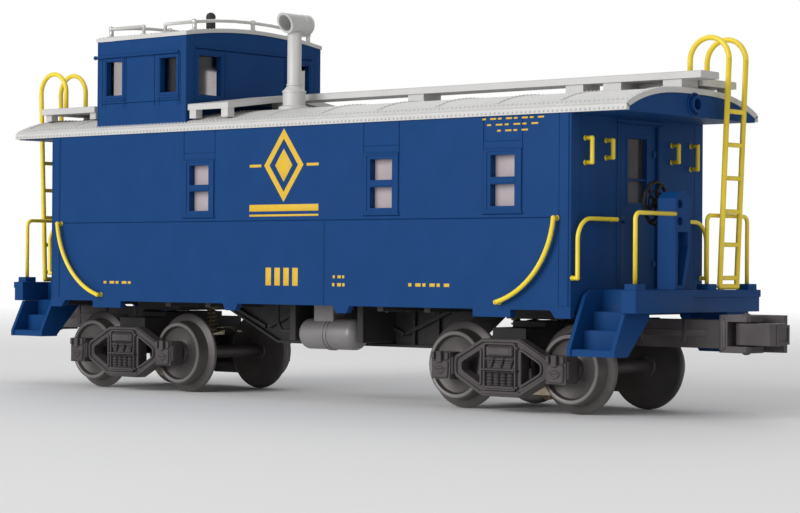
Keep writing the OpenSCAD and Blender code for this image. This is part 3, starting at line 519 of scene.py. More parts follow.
@dataclass(frozen=True)
class Relief:
    """A rectangle of a moulded wall, u0..u1 by v0..v1, that stands proud or lies sunk by height.

    Its height falls away over the rim outside it. A line has u0 = u1 or v0 = v1, and is a narrow V.
    """

    u0: float
    u1: float
    v0: float
    v1: float
    height: float
    rim: float = 0.06
    # Share of painted shade that the rectangle carries; scribed lines use it.
    accent: float = 0.0

    def share(self, u: np.ndarray, v: np.ndarray) -> np.ndarray:
        """1 in the rectangle, falling in a straight line to 0 at the rim's outer edge."""
        outside = np.maximum(np.maximum(self.u0 - u, u - self.u1), np.maximum(self.v0 - v, v - self.v1))
        return np.clip(1.0 - outside / self.rim, 0.0, 1.0)

    def lines(self) -> tuple[list[float], list[float]]:
        """The grid lines that the rectangle needs, along u and along v."""
        rim = self.rim
        return [self.u0 - rim, self.u0, self.u1, self.u1 + rim], [self.v0 - rim, self.v0, self.v1, self.v1 + rim]


def scribe(
    u0: float, v0: float, u1: float, v1: float, depth: float = 0.16, half: float = 0.15, accent: float = 0.8
) -> Relief:
    """A fine scribed line, with painted shade darkening its bottom."""
    return Relief(u0, u1, v0, v1, -depth, half, accent)


@dataclass
class Panel:
    """A moulded wall over u and v, with reliefs on its face and openings through it.

    The face is place(u, v, h) with h the sum of the reliefs, the back is place(u, v, -thickness), and the two
    are joined round every edge.
    """

    u_range: tuple[float, float]
    v_range: tuple[float, float]
    thickness: float
    place: Callable[[np.ndarray, np.ndarray, np.ndarray], np.ndarray]
    reliefs: list[Relief] = field(default_factory=list)
    holes: list[tuple[float, float, float, float]] = field(default_factory=list)
    more_u: Sequence[float] = ()
    more_v: Sequence[float] = ()
    bottom: Callable[[np.ndarray], np.ndarray] | None = None
    top: Callable[[np.ndarray], np.ndarray] | None = None

    def _lines(self) -> tuple[np.ndarray, np.ndarray]:
        """The grid's lines, from the reliefs, the holes and the ends."""
        us, vs = [*self.u_range, *self.more_u], [*self.v_range, *self.more_v]
        for relief in self.reliefs:
            more = relief.lines()
            us += more[0]
            vs += more[1]
        for u0, u1, v0, v1 in self.holes:
            us += [u0, u1]
            vs += [v0, v1]

        def tidy(values: list[float], limits: tuple[float, float]) -> np.ndarray:
            """The values inside the limits, in order, with no two closer than a hundredth of a millimetre."""
            inside = sorted(v for v in values if limits[0] <= v <= limits[1])
            kept = np.array(inside)
            return kept[np.concatenate([[True], np.diff(kept) > 0.01])]

        return tidy(us, self.u_range), tidy(vs, self.v_range)

    def shape(self) -> Shape:
        """The wall as a closed shape.

        Returns:
            Its face, its back and the strips that join them, with painted shade in the scribed lines.
        """
        us, vs = self._lines()
        u, v = np.meshgrid(us, vs)
        height = sum((r.height * r.share(u, v) for r in self.reliefs), np.zeros_like(u))
        # Each point's share of painted shade, from the scribed lines.
        accent = sum((r.accent * r.share(u, v) for r in self.reliefs), np.zeros_like(u))
        mid_u, mid_v = np.meshgrid((us[1:] + us[:-1]) / 2, (vs[1:] + vs[:-1]) / 2)
        keep = np.ones_like(mid_u, bool)
        for u0, u1, v0, v1 in self.holes:
            keep &= ~((mid_u > u0) & (mid_u < u1) & (mid_v > v0) & (mid_v < v1))
        if self.bottom is not None:
            v[0] = self.bottom(u[0])
        if self.top is not None:
            v[-1] = self.top(u[-1])
        front = self.place(u, v, height)
        back = self.place(u, v, np.full_like(u, -self.thickness))
        rows, cols = keep.shape
        count = u.size
        i, j = np.nonzero(keep)

        def index(a: np.ndarray, b: np.ndarray) -> np.ndarray:
            """The index of the grid's point in row a and column b."""
            return a * (cols + 1) + b

        cells = np.stack([index(i, j), index(i, j + 1), index(i + 1, j + 1), index(i + 1, j)], -1)
        faces = [cells, cells[:, ::-1] + count]
        padded = np.pad(keep, 1)
        steps = ((-1, 0, (0, 0), (0, 1)), (1, 0, (1, 1), (1, 0)), (0, -1, (1, 0), (0, 0)), (0, 1, (0, 1), (1, 1)))
        for di, dj, p, q in steps:
            i, j = np.nonzero(keep & ~padded[1 + di : 1 + di + rows, 1 + dj : 1 + dj + cols])
            a, b = index(i + p[0], j + p[1]), index(i + q[0], j + q[1])
            faces.append(np.stack([b, a, a + count, b + count], -1))
        points = np.concatenate([front.reshape(-1, 3), back.reshape(-1, 3)])
        return Shape(points, faces, np.concatenate([np.clip(accent, 0, 1).ravel(), np.zeros(count)]))


def stacked(x: np.ndarray, y: np.ndarray, z: np.ndarray) -> np.ndarray:
    """Three arrays of one shape as one array of points."""
    return np.stack(np.broadcast_arrays(x, y, z), -1)


# ---- Putting shapes and CAD nodes on the car ----


def cad_box(node: str) -> tuple[np.ndarray, np.ndarray]:
    """A CAD node's lowest and highest corner, in millimetres."""
    low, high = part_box(node)
    return np.array(low) / MM, np.array(high) / MM


def slot_of(node: str) -> str:
    """The record's material slot for a CAD node."""
    return next(part["material_slot"] for part in frame["record"]["subparts"] if part["node"] == node)


def body_of(node: str) -> str:
    """The CAD body that a CAD node belongs to."""
    return next(body for body, nodes in frame["record"]["behaviour"]["bodies"].items() if node in nodes)


def mesh_from(name: str, shape: Shape, sharp: float) -> bpy.types.Mesh:
    """The shape as a mesh in metres, with doubles merged, faces outwards and smooth but for its sharp edges.

    Args:
        name: The mesh's name.
        shape: The shape.
        sharp: Edges that turn by more than this many degrees stay sharp.

    Returns:
        The mesh.
    """
    mesh = bpy.data.meshes.new(name)
    mesh.from_pydata((shape.points * MM).tolist(), [], [f for faces in shape.faces for f in faces.tolist()])
    # Each point's share of painted shade or painted highlight, stored for the finish's material.
    accent = mesh.attributes.new("accent", "FLOAT", "POINT")
    accent.data.foreach_set("value", shape.accent.astype(np.float32))
    edit = bmesh.new()
    edit.from_mesh(mesh)
    bmesh.ops.remove_doubles(edit, verts=edit.verts, dist=0.002 * MM)
    bmesh.ops.dissolve_degenerate(edit, edges=edit.edges, dist=0.001 * MM)
    bmesh.ops.recalc_face_normals(edit, faces=edit.faces)
    edit.to_mesh(mesh)
    edit.free()
    mesh.shade_smooth()
    mesh.set_sharp_from_angle(angle=math.radians(sharp))
    return mesh


def add(
    name: str, shape: Shape, paint: Paint, body: str = "carbody", replaces: Sequence[str] = (), sharp: float = 32.0
) -> bpy.types.Object:
    """Puts a shape on the car.

    Args:
        name: The piece's name.
        shape: Its shape, in place.
        paint: Its finish.
        body: The CAD body that it rides on.
        replaces: The CAD nodes that it stands for.
        sharp: Edges that turn by more than this many degrees stay sharp.

    Returns:
        The piece.
    """
    piece = bpy.data.objects.new(name, mesh_from(name, shape, sharp))
    bpy.context.scene.collection.objects.link(piece)
    piece.data.materials.append(paint.finish.material())
    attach(piece, body)
    paint.slot
    if replaces:
        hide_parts(*replaces)
    LOG.info("%s: %d faces, %s, on %s", name, len(piece.data.polygons), paint.finish.name, body)
    return piece


def soften(node: str, bevel: float = 0.14, sharp: float = 32.0, paint: Paint | None = None) -> bpy.types.Object:
    """A moulded copy of a CAD node: its triangles merged, its flats joined and its edges slightly rounded.

    Args:
        node: The CAD node, which the copy stands for.
        bevel: The width of the rounding, in millimetres; 0 leaves the edges sharp, as on wires.
        sharp: Edges that turn by more than this many degrees stay sharp.
        paint: Its finish; the record's own for that node if left out.

    Returns:
        The copy.
    """
    paint = paint or Paint.of_slot(slot_of(node))
    mesh = frame["nodes"][node].data.copy()
    mesh.name = node + "_moulded"
    edit = bmesh.new()
    edit.from_mesh(mesh)
    bmesh.ops.remove_doubles(edit, verts=edit.verts, dist=0.003 * MM)
    if bevel:
        bmesh.ops.dissolve_limit(edit, angle_limit=math.radians(0.6), verts=edit.verts, edges=edit.edges)
    edit.to_mesh(mesh)
    edit.free()
    mesh.shade_smooth()
    mesh.set_sharp_from_angle(angle=math.radians(sharp))
    mesh.materials.clear()
    mesh.materials.append(paint.finish.material())
    piece = bpy.data.objects.new(mesh.name, mesh)
    bpy.context.scene.collection.objects.link(piece)
    if bevel:
        rounding = piece.modifiers.new("rounding", "BEVEL")
        rounding.width = bevel * MM
        rounding.segments = 2
        rounding.limit_method = "ANGLE"
        rounding.angle_limit = math.radians(40)
        rounding.harden_normals = True
        rounding.use_clamp_overlap = True
    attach(piece, body_of(node))
    paint.slot
    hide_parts(node)
    LOG.info("%s: moulded copy, %d faces", piece.name, len(mesh.polygons))
    return piece


# ---- The car's measures ----


@dataclass(frozen=True)
class Measures:
    """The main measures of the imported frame, in millimetres, read from its nodes' boxes."""

    body_x: float
    body_y: float
    sill_z: float
    eave_z: float
    roof_x: float
    roof_y: float
    roof_peak_z: float
    cupola_x: float
    cupola_half_l: float
    cupola_y: float
    cupola_eave_z: float
    beam_x: float
    platform_z: float
    eave_h: float = 1.4
    cupola_rise: float = 2.1
    cupola_roof_t: float = 0.95

    @classmethod
    def read(cls) -> "Measures":
        """Works the measures out from the boxes of the nodes.

        Returns:
            The measures.
        """
        wall, roof, cap = cad_box("side_wall_right"), cad_box("main_roof"), cad_box("cupola_roof")
        end, beam, stand = cad_box("end_wall_front"), cad_box("platform_front"), cad_box("brake_stand_front")
        brim = 0.3
        return cls(
            body_x=wall[1][0], body_y=-wall[0][1] - brim, sill_z=end[0][2], eave_z=wall[1][2],
            roof_x=roof[1][0], roof_y=roof[1][1], roof_peak_z=roof[1][2],
            cupola_x=(cap[0][0] + cap[1][0]) / 2, cupola_half_l=(cap[1][0] - cap[0][0]) / 2 - brim,
            cupola_y=cap[1][1] - brim, cupola_eave_z=cap[1][2] - cls.cupola_roof_t - cls.cupola_rise,
            beam_x=beam[1][0], platform_z=stand[0][2],
        )

    def roof_top(self, y: np.ndarray | float) -> np.ndarray:
        """The roof's height at y: its edge, plus the rise times 1 - (|y| / half width) cubed."""
        edge = self.eave_z + self.eave_h
        return edge + (self.roof_peak_z - edge) * (1 - np.abs(np.asarray(y, float) / self.roof_y) ** 3)

    def roof_out(self, y: np.ndarray | float) -> np.ndarray:
        """The roof's outward direction at y."""
        y = np.asarray(y, float)
        edge = self.eave_z + self.eave_h
        slope = -(self.roof_peak_z - edge) * 3 * np.sign(y) * y**2 / self.roof_y**3
        return unit(stacked(np.zeros_like(y), -slope, np.ones_like(y)))

    def cupola_top(self, y: np.ndarray | float) -> np.ndarray:
        """The height of the cupola's walls at y: the eave plus the rise times 1 - (y / half width) squared."""
        return self.cupola_eave_z + self.cupola_rise * (1 - (np.asarray(y, float) / self.cupola_y) ** 2)


# ---- Body ----


@dataclass
class SideWalls:
    """The two long walls, with their windows, scribed seams and corner strips."""

    car: Measures
    thickness: float = 1.8
    window_xs: tuple[float, float, float] = (69.7, 32.2, -31.0)
    pane_half: float = 3.55
    panes: tuple[tuple[float, float], tuple[float, float]] = ((24.0, 29.1), (30.8, 35.9))
    frame_half: float = 5.55
    frame_z: tuple[float, float] = (22.7, 37.2)
    belt_z: float = 21.2
    seam_x: float = 13.5
    strip_x: tuple[float, float] = (86.2, 88.65)
    skirt_h: float = 1.8

    def _skirt(self, u: np.ndarray) -> np.ndarray:
        """The lower edge: 0, and -skirt_h along the three tabs towards each end."""
        end = self.car.body_x
        tabs = ((0.0, 5.8, 0.0, 1.5), (17.2, 28.4, 0.03, 0.03), (67.4, 72.8, 1.0, 1.0))
        corners = [
            p for a, b, s, t in tabs
            for p in ((a, 0.0 if a else -self.skirt_h), (a + s, -self.skirt_h), (b - t, -self.skirt_h), (b, 0.0))
        ]
        inwards, drop = np.array(corners).T
        return np.interp(end - np.abs(u), inwards, drop)

    def _window(self, x: float) -> list[Relief]:
        """The frame, sash, sill and head of one window, and the seams above it."""
        low, high = self.frame_z
        half = self.frame_half
        top = self.car.eave_z - self.car.sill_z
        seams = [scribe(x + s * (half + 0.2), high + 0.5, x + s * (half + 0.2), top) for s in (-1, 1)]
        return [
            Relief(x - half, x + half, low, high, 0.3, 0.04),
            Relief(x - half + 1.0, x + half - 1.0, low + 0.5, high - 0.5, -0.16, 0.04),
            Relief(x - self.pane_half, x + self.pane_half, 29.4, 30.5, 0.12, 0.1),
            Relief(x - half - 0.35, x + half + 0.35, low - 0.45, low - 0.05, 0.34, 0.04),
            Relief(x - half - 0.35, x + half + 0.35, high + 0.05, high + 0.3, 0.26, 0.04),
            # Painted shade in the scribed lines round the frame, heavier on its left side than its right.
            scribe(x - half - 0.5, low - 0.62, x + half + 0.5, low - 0.62, 0.1, 0.1, 0.7),
            scribe(x - half - 0.2, low, x - half - 0.2, high, 0.08, 0.12, 0.9),
            scribe(x + half + 0.2, low, x + half + 0.2, high, 0.08, 0.12, 0.6),
            scribe(x - half, high + 1.9, x + half, high + 1.9, 0.08, 0.12, 0.45),
            *seams,
        ]

    def _wall(self) -> Shape:
        """The right-hand wall."""
        car = self.car
        height = car.eave_z - car.sill_z
        s0, s1 = self.strip_x
        # Painted shade in the scribed belt line, seam and strip edges.
        reliefs = [
            scribe(-s0, self.belt_z, s0, self.belt_z, 0.14, 0.17, 0.75),
            scribe(self.seam_x, 0.0, self.seam_x, self.belt_z - 0.3, 0.12, 0.14, 0.75),
        ]
        for side in (-1, 1):
            inner, outer = sorted((side * s0, side * s1))
            reliefs.append(Relief(inner, outer, 1.0, height, 0.12, 0.04))
            reliefs += [
                scribe(side * (x + d), 0.6, side * (x + d), height, 0.08, 0.1, 0.7)
                for x, d in ((s0, -0.2), (s1, 0.2))
            ]
        holes = []
        for x in self.window_xs:
            reliefs += self._window(x)
            holes += [(x - self.pane_half, x + self.pane_half, *pane) for pane in self.panes]
        tabs = [0.03, 5.8, 4.3, 17.2, 17.23, 28.37, 28.4, 67.4, 68.4, 71.8, 72.8]
        return Panel(
            (-car.body_x, car.body_x), (0.0, height), self.thickness,
            lambda u, v, h: stacked(u, -car.body_y - h, car.sill_z + v), reliefs, holes,
            more_u=[s * (car.body_x - t) for t in tabs for s in (-1, 1)], more_v=[0.45], bottom=self._skirt,
        ).shape()

    def build(self) -> None:
        """Builds both walls."""
        wall = self._wall()
        add("side_wall_right_panelled", wall, Paint.BODY, replaces=["side_wall_right"])
        add("side_wall_left_panelled", wall.mirrored(1), Paint.BODY, replaces=["side_wall_left"])


@dataclass
class Markings:
    """Plain painted devices on the side walls: a lozenge emblem, a row of upright bars and small data bars."""

    car: Measures
    proud: float = 0.04
    emblem_x: float = -0.5
    emblem_z: float = 35.2

    def _pad(self, outline: Sequence[Sequence[float]]) -> Shape:
        """A painted patch on the right-hand wall, from its outline in x and height above the wall's foot."""
        origin = (0.0, -self.car.body_y + 0.02, self.car.sill_z)
        return slab(outline, self.proud + 0.02, 0.01, origin, X_AXIS, Z_AXIS)

    def _bar(self, x0: float, x1: float, z0: float, z1: float) -> Shape:
        """A painted bar."""
        return self._pad([(x0, z0), (x1, z0), (x1, z1), (x0, z1)])

    def _lozenge_frame(self, half_w: float, half_h: float, width: float) -> Shape:
        """An upright lozenge drawn as a band of even width, which a square section sweeps."""
        x, z = self.emblem_x, self.emblem_z
        y = -self.car.body_y
        corners = np.array([(x + half_w, y, z), (x, y, z + half_h), (x - half_w, y, z), (x, y, z - half_h)])
        corners[:, 2] += self.car.sill_z
        section = np.array(
            [(-width / 2, -self.proud), (width / 2, -self.proud), (width / 2, self.proud), (-width / 2, self.proud)]
        )
        return sweep(corners, section, Y_AXIS, closed=True)

    def _emblem(self) -> Shape:
        """Two nested lozenges over a pair of bars."""
        x, z = self.emblem_x, self.emblem_z
        inner = [(x + 3.0, z), (x, z + 4.2), (x - 3.0, z), (x, z - 4.2)]
        parts = [self._lozenge_frame(5.9, 8.0, 1.5), self._pad(inner)]
        parts += [self._bar(x - 12.0, x - 7.9, z - 0.35, z + 0.35), self._bar(x + 7.9, x + 12.0, z - 0.35, z + 0.35)]
        parts += [self._bar(x - 12.0, x + 12.0, 23.6, 25.3), self._bar(x - 12.0, x + 12.0, 22.3, 22.8)]
        return Shape.union(parts)

    def _numbers(self) -> Shape:
        """Four plain upright bars where a car carries its number."""
        return Shape.union([self._bar(x, x + 1.9, 4.8, 9.3) for x in (-6.6, -3.5, -0.4, 2.7)])

    def _data(self) -> Shape:
        """Rows of short bars where a car carries its data."""
        rows = ((-67.8, -55.7, 4.7, 0.7), (16.5, 21.2, 6.8, 0.7), (16.3, 21.4, 4.8, 0.8), (41.1, 54.4, 5.0, 0.8),
                (63.6, 82.2, 44.1, 0.4), (65.0, 80.6, 42.7, 0.4), (68.0, 77.6, 41.3, 0.4))
        parts = []
        for x0, x1, z, h in rows:
            count = max(3, int(round((x1 - x0) / 2.4)))
            pitch = (x1 - x0) / count
            parts += [
                self._bar(x0 + i * pitch, x0 + (i + 0.45 + 0.3 * (i % 2)) * pitch, z, z + h) for i in range(count)
            ]
        return Shape.union(parts)

    def build(self) -> None:
        """Paints both sides; the left side's devices are the right side's turned half round."""
        for name, shape in (("emblem", self._emblem()), ("number_bars", self._numbers()), ("data_bars", self._data())):
            add(name + "_right", shape, Paint.GOLD, sharp=60)
            add(name + "_left", shape.turned(), Paint.GOLD, sharp=60)


@dataclass
class EndWalls:
    """The two end walls, with their doors, and the boards that close the roof's ends."""

    car: Measures
    thickness: float = 1.8
    door_half: float = 7.5
    door_z: tuple[float, float] = (4.9, 43.3)
    window: tuple[float, float, float, float] = (-3.85, 3.85, 25.1, 40.3)
    marker_z: float = 2.7

    def _wall(self) -> Shape:
        """The front wall."""
        car = self.car
        inner = car.body_y - self.thickness
        height = car.eave_z - car.sill_z
        d, (z0, z1) = self.door_half, self.door_z
        g0, g1, g2, g3 = self.window
        reliefs = [
            Relief(-d, d, z0, z1, -0.62, 0.05),
            Relief(g0 - 0.8, g1 + 0.8, g2 - 0.8, g3 + 0.8, 0.1, 0.06),
            Relief(-5.4, -0.7, 8.2, 21.8, -0.14, 0.25),
            Relief(0.7, 5.4, 8.2, 21.8, -0.14, 0.25),
            # Painted shade in the scribed door edges, heavier and deeper on the right, and in the corner lines.
            scribe(-d - 0.12, 0.0, -d - 0.12, z1, 0.1, 0.12, 0.9),
            scribe(d + 0.12, 0.0, d + 0.12, z1, 0.25, 0.16, 1.0),
            Relief(-d - 1.5, -d - 0.5, 0.0, z1 + 0.4, 0.16, 0.05),
            Relief(d + 0.5, d + 1.5, 0.0, z1 + 0.4, 0.16, 0.05),
            Relief(-d - 2.0, d + 2.0, z1 + 0.5, z1 + 1.15, 0.34, 0.05),
            scribe(-d - 2.4, z1 + 0.3, d + 2.4, z1 + 0.3, 0.1, 0.1, 1.0),
            scribe(-23.4, 0.0, -23.4, height, 0.1, 0.12, 0.5),
            scribe(23.4, 0.0, 23.4, height, 0.1, 0.12, 0.5),
        ]
        return Panel(
            (-inner, inner), (0.0, height), self.thickness,
            lambda u, v, h: stacked(car.body_x + h, u, car.sill_z + v), reliefs, [self.window],
        ).shape()

    def _door_fittings(self) -> Shape:
        """The sash bar across the door's window, its knob and its two hinges."""
        car = self.car
        x, z = car.body_x - 0.62, car.sill_z
        g0, g1, _, _ = self.window
        knob = [(0.0, 1.0), (0.32, 0.95), (0.5, 0.7), (0.42, 0.35), (0.22, 0.2), (0.22, -0.1), (0.0, -0.1)]
        parts = [block((x - 0.8, g0 - 0.1, z + 30.3), (x - 0.15, g1 + 0.1, z + 30.8), 0.08),
                 revolve(knob, (x, -5.9, z + 20.5), X_AXIS, 20)]
        parts += [block((x - 0.05, 6.2, z + h), (x + 0.35, 7.4, z + h + 1.6), 0.08) for h in (10.0, 36.0)]
        return Shape.union(parts)

    def _marker_ring(self) -> Shape:
        """The two rims round the marker lamp's socket."""
        car = self.car
        origin = (car.roof_x - 0.3, 0.0, car.eave_z + self.marker_z)
        rim = [(1.36, 0.9), (1.36, 1.12), (1.5, 1.22), (1.85, 1.22), (1.97, 1.12), (1.97, 0.9)]
        collar = [(2.35, -0.05), (2.35, 0.22), (2.45, 0.32), (2.75, 0.32), (2.85, 0.22), (2.85, -0.05)]
        return Shape.union([revolve(p, origin, X_AXIS, 40, ring=True) for p in (rim, collar)])

    def build(self) -> None:
        """Builds both end walls and dresses both gables."""
        wall, door, ring = self._wall(), self._door_fittings(), self._marker_ring()
        for name, turn in (("front", False), ("rear", True)):
            put = (lambda s: s.turned()) if turn else (lambda s: s)
            add(f"end_wall_{name}_panelled", put(wall), Paint.BODY, replaces=[f"end_wall_{name}"])
            add(f"door_fittings_{name}", put(door), Paint.BODY)
            add(f"marker_ring_{name}", put(ring), Paint.BODY)
            soften(f"gable_{name}", 0.12)


# ---- Roof ----


@dataclass
class Roof:
    """The arched roof, with its eave strips, cross seams and rows of rivets."""

    car: Measures
    thickness: float = 1.1
    pitch: float = 1.3
    strip_y: float = 24.5
    strip_x: float = 2.3
    seams: int = 10
    corner_r: float = 0.45
    corner_run: float = 0.9
    corner_start: float = 0.45

    def _curve(self, v: np.ndarray) -> tuple[np.ndarray, np.ndarray, np.ndarray, np.ndarray]:
        """The cross-section at v and its outward direction.

        Up to the rounded corner v is y, and beyond it v runs down the upright edge.

        Args:
            v: Distances from the middle.

        Returns:
            y, z, and the y and z of the outward direction.
        """
        car = self.car
        side, away = np.sign(v), np.abs(v)
        corner = car.roof_y - self.corner_r
        down = np.clip(away - corner, 0.0, None)
        share = np.clip(down / self.corner_run, 0.0, 1.0)
        turn = self.corner_start + share * (math.pi / 2 - self.corner_start)
        beyond = corner + self.corner_r * (np.sin(turn) - math.sin(self.corner_start)) + 0.12 * share
        y = np.where(down > 0, np.minimum(beyond, car.roof_y), away)
        fall = self.corner_r * (math.cos(self.corner_start) - np.cos(turn)) + np.clip(down - self.corner_run, 0.0, None)
        z = car.roof_top(np.minimum(away, corner)) - np.where(down > 0, fall, 0.0)
        out = car.roof_out(np.minimum(away, corner))
        out_y = (1 - share) * out[..., 1] + share
        out_z = (1 - share) * out[..., 2]
        size = np.hypot(out_y, out_z)
        return side * y, z, side * out_y / size, out_z / size

    def _place(self, u: np.ndarray, v: np.ndarray, h: np.ndarray) -> np.ndarray:
        """A point of the roof: the cross-section at v, moved out by h."""
        y, z, out_y, out_z = self._curve(v)
        return stacked(u, y + out_y * h, z + out_z * h)

    def _sheet(self) -> Shape:
        """The roof's shell."""
        car = self.car
        end = car.roof_x
        across = car.roof_y - self.corner_r + self.corner_run
        edge = car.roof_y - 0.7
        foot = across + (self._curve(np.array([across]))[1][0] - car.eave_z)
        reliefs = [Relief(-end, end, *sorted((s * self.strip_y, s * edge)), 0.24, 0.08) for s in (-1, 1)]
        inner = self.strip_y - 0.1
        reliefs += [Relief(*sorted((s * (end - self.strip_x), s * end)), -inner, inner, 0.2, 0.08) for s in (-1, 1)]
        reliefs += [Relief(x - 0.55, x + 0.55, -inner, inner, 0.14, 0.08) for x in self._seam_xs()]
        bow = np.linspace(-self.strip_y, self.strip_y, 49)
        bend = np.linspace(edge, across, 9)
        return Panel(
            (-end, end), (-foot, foot), self.thickness, self._place, reliefs, more_v=[*bow, *bend, *(-bend)],
        ).shape()

    def _seam_xs(self) -> np.ndarray:
        """Where the cross seams run."""
        reach = self.car.roof_x - self.strip_x
        return np.linspace(-reach, reach, self.seams + 2)[1:-1]

    def _rows(self) -> Shape:
        """All the rivets of the roof."""
        car = self.car
        end = car.roof_x - 1.0
        parts = []
        for side in (-1, 1):
            y, z = side * car.roof_y, car.eave_z + 0.55
            parts.append(rivets(row((-end, y, z), (end, y, z), self.pitch), side * Y_AXIS, 0.27, 0.17))
            v = side * (self.strip_y + 1.25)
            seat = self._place(np.array([0.0]), np.array([v]), np.array([0.24]))[0]
            run = row((-end, seat[1], seat[2]), (end, seat[1], seat[2]), self.pitch)
            parts.append(rivets(run, car.roof_out(v), 0.3, 0.2))
        for x, h, pitch in (
            (-end - 0.1, 0.2, self.pitch), (end + 0.1, 0.2, self.pitch), *((x, 0.14, 1.5) for x in self._seam_xs())
        ):
            y = row((0, -self.strip_y + 0.6, 0), (0, self.strip_y - 0.6, 0), pitch)[:, 1]
            parts.append(rivets(self._place(np.full_like(y, x), y, np.full_like(y, h)), car.roof_out(y), 0.28, 0.17))
        return Shape.union(parts)

    def build(self) -> None:
        """Builds the roof and its rivets."""
        add("main_roof_sheet", self._sheet(), Paint.ROOF, replaces=["main_roof"], sharp=26)
        add("main_roof_rivets", self._rows(), Paint.ROOF, sharp=50)


@dataclass
class RoofFittings:
    """The boards on the roof, and the smoke jack."""

    car: Measures
    gap: float = 0.14
    skin: float = 0.2
    walk_half: float = 3.85
    cross_l: float = 15.0
    cross_half: float = 25.5
    cross_drop: float = 2.9
    hood_r: float = 2.6
    hood_l: float = 9.8

    def _planks(self, x0: float, x1: float, y0: float, y1: float, z: float, count: int) -> Shape:
        """Boards side by side, lengthwise, laid on a walk's upper face."""
        edges = np.linspace(y0, y1, count + 1)
        spans = zip(edges[:-1] + self.gap / 2, edges[1:] - self.gap / 2)
        return Shape.union([block((x0, a, z - 0.05), (x1, b, z + self.skin), 0.07) for a, b in spans])

    def _walk(self, node: str) -> tuple[Shape, Shape]:
        """The planks and bolts of one roofwalk and its ladder landing, drawn at the front end."""
        low, high = cad_box(node)
        if node.endswith("rear"):
            low, high = np.array([-high[0], -high[1], low[2]]), np.array([-low[0], -low[1], high[2]])
        car = self.car
        start, walk_z = low[0], high[2]
        half = self.walk_half
        landing_x = (car.roof_x - 0.3 - 22.5, car.roof_x - 0.3)
        landing_z = walk_z - 1.2
        planks = [
            self._planks(start, high[0], -half, half, walk_z, 3),
            self._planks(*landing_x, half + 0.1, 18.2, landing_z, 5)
        ]
        xs = np.arange(start + 3.0, high[0] - 1.0, 15.0)
        seats = [(x, y, walk_z + self.skin) for x in xs for y in (-2.55, 0.0, 2.55)]
        ys = half + 0.1 + (18.2 - half - 0.1) / 5 * (np.arange(5) + 0.5)
        seats += [(x, y, landing_z + self.skin) for x in (landing_x[0] + 1.6, landing_x[1] - 2.2) for y in ys]
        return Shape.union(planks), rivets(np.array(seats), Z_AXIS, 0.32, 0.14, 8)

    def _cross_landing(self) -> Shape:
        """The boards in front of the cupola, which fall in a straight line to both sides."""
        car = self.car
        x0 = car.cupola_x + car.cupola_half_l + 0.35
        x1 = x0 + self.cross_l - 0.1
        half = self.cross_half
        walk_z = cad_box("roofwalk_front")[1][2]

        def place(u: np.ndarray, v: np.ndarray, h: np.ndarray) -> np.ndarray:
            """Level with the long board in the middle, and lower by cross_drop at each end."""
            share = np.clip((np.abs(v) - self.walk_half) / (half - self.walk_half), 0.0, 1.0)
            return stacked(u, v, walk_z - self.cross_drop * share + 0.14 + h)

        # Painted shade in the board seams.
        seams = [scribe(x, -half, x, half, 0.12, 0.1, 0.6) for x in np.linspace(x0, x1, 6)[1:-1]]
        middle = self.walk_half
        return Panel((x0, x1), (-half, half), 0.1, place, seams, more_v=[-middle, middle]).shape()

    def _jack_trim(self) -> Shape:
        """Seams round the smoke jack's hood, collars on its pipe and its flange on the roof."""
        low, high = cad_box("smoke_jack")
        x = (low[0] + high[0]) / 2
        y = high[1] - self.hood_l / 2
        r = self.hood_r
        hood_z = high[2] - r
        base_z = self.car.eave_z + 10.5
        parts = []
        for at, wide, grow in ((2.2, 0.45, 0.1), (4.35, 0.45, 0.12)):
            band = [(r - 0.05, at), (r + grow, at + 0.06), (r + grow, at + wide - 0.06), (r - 0.05, at + wide)]
            parts.append(revolve(band, (x, y, hood_z), Y_AXIS, 48, ring=True))
        foot_z = float(self.car.roof_top(abs(y) - 3.9))
        flange = [
            (2.9, foot_z - 1.2), (4.1, foot_z - 1.2), (4.1, foot_z + 0.1), (3.9, foot_z + 0.3),
            (3.3, foot_z + 0.45), (2.9, foot_z + 0.6)
        ]
        collar = [(2.95, base_z - 0.5), (3.16, base_z - 0.4), (3.16, base_z + 0.05), (2.95, base_z + 0.15)]
        neck = [(1.8, base_z + 1.35), (2.05, base_z + 1.45), (2.05, base_z + 1.85), (1.8, base_z + 1.95)]
        parts += [revolve(p, (x, y, 0.0), Z_AXIS, 48, ring=True) for p in (flange, collar, neck)]
        return Shape.union(parts)

    def build(self) -> None:
        """Builds the walks' boards and the smoke jack's trim, and softens their CAD nodes."""
        for node in ("roofwalk_front", "roofwalk_rear"):
            soften(node, 0.12)
            planks, bolts = self._walk(node)
            put = (lambda s: s.turned()) if node.endswith("rear") else (lambda s: s)
            add(node + "_planks", put(planks), Paint.ROOF)
            add(node + "_bolts", put(bolts), Paint.ROOF, sharp=50)
        add("cross_landing_boards", self._cross_landing(), Paint.ROOF)
        soften("smoke_jack", 0.08)
        add("smoke_jack_trim", self._jack_trim(), Paint.ROOF, sharp=40)


# ---- Cupola ----


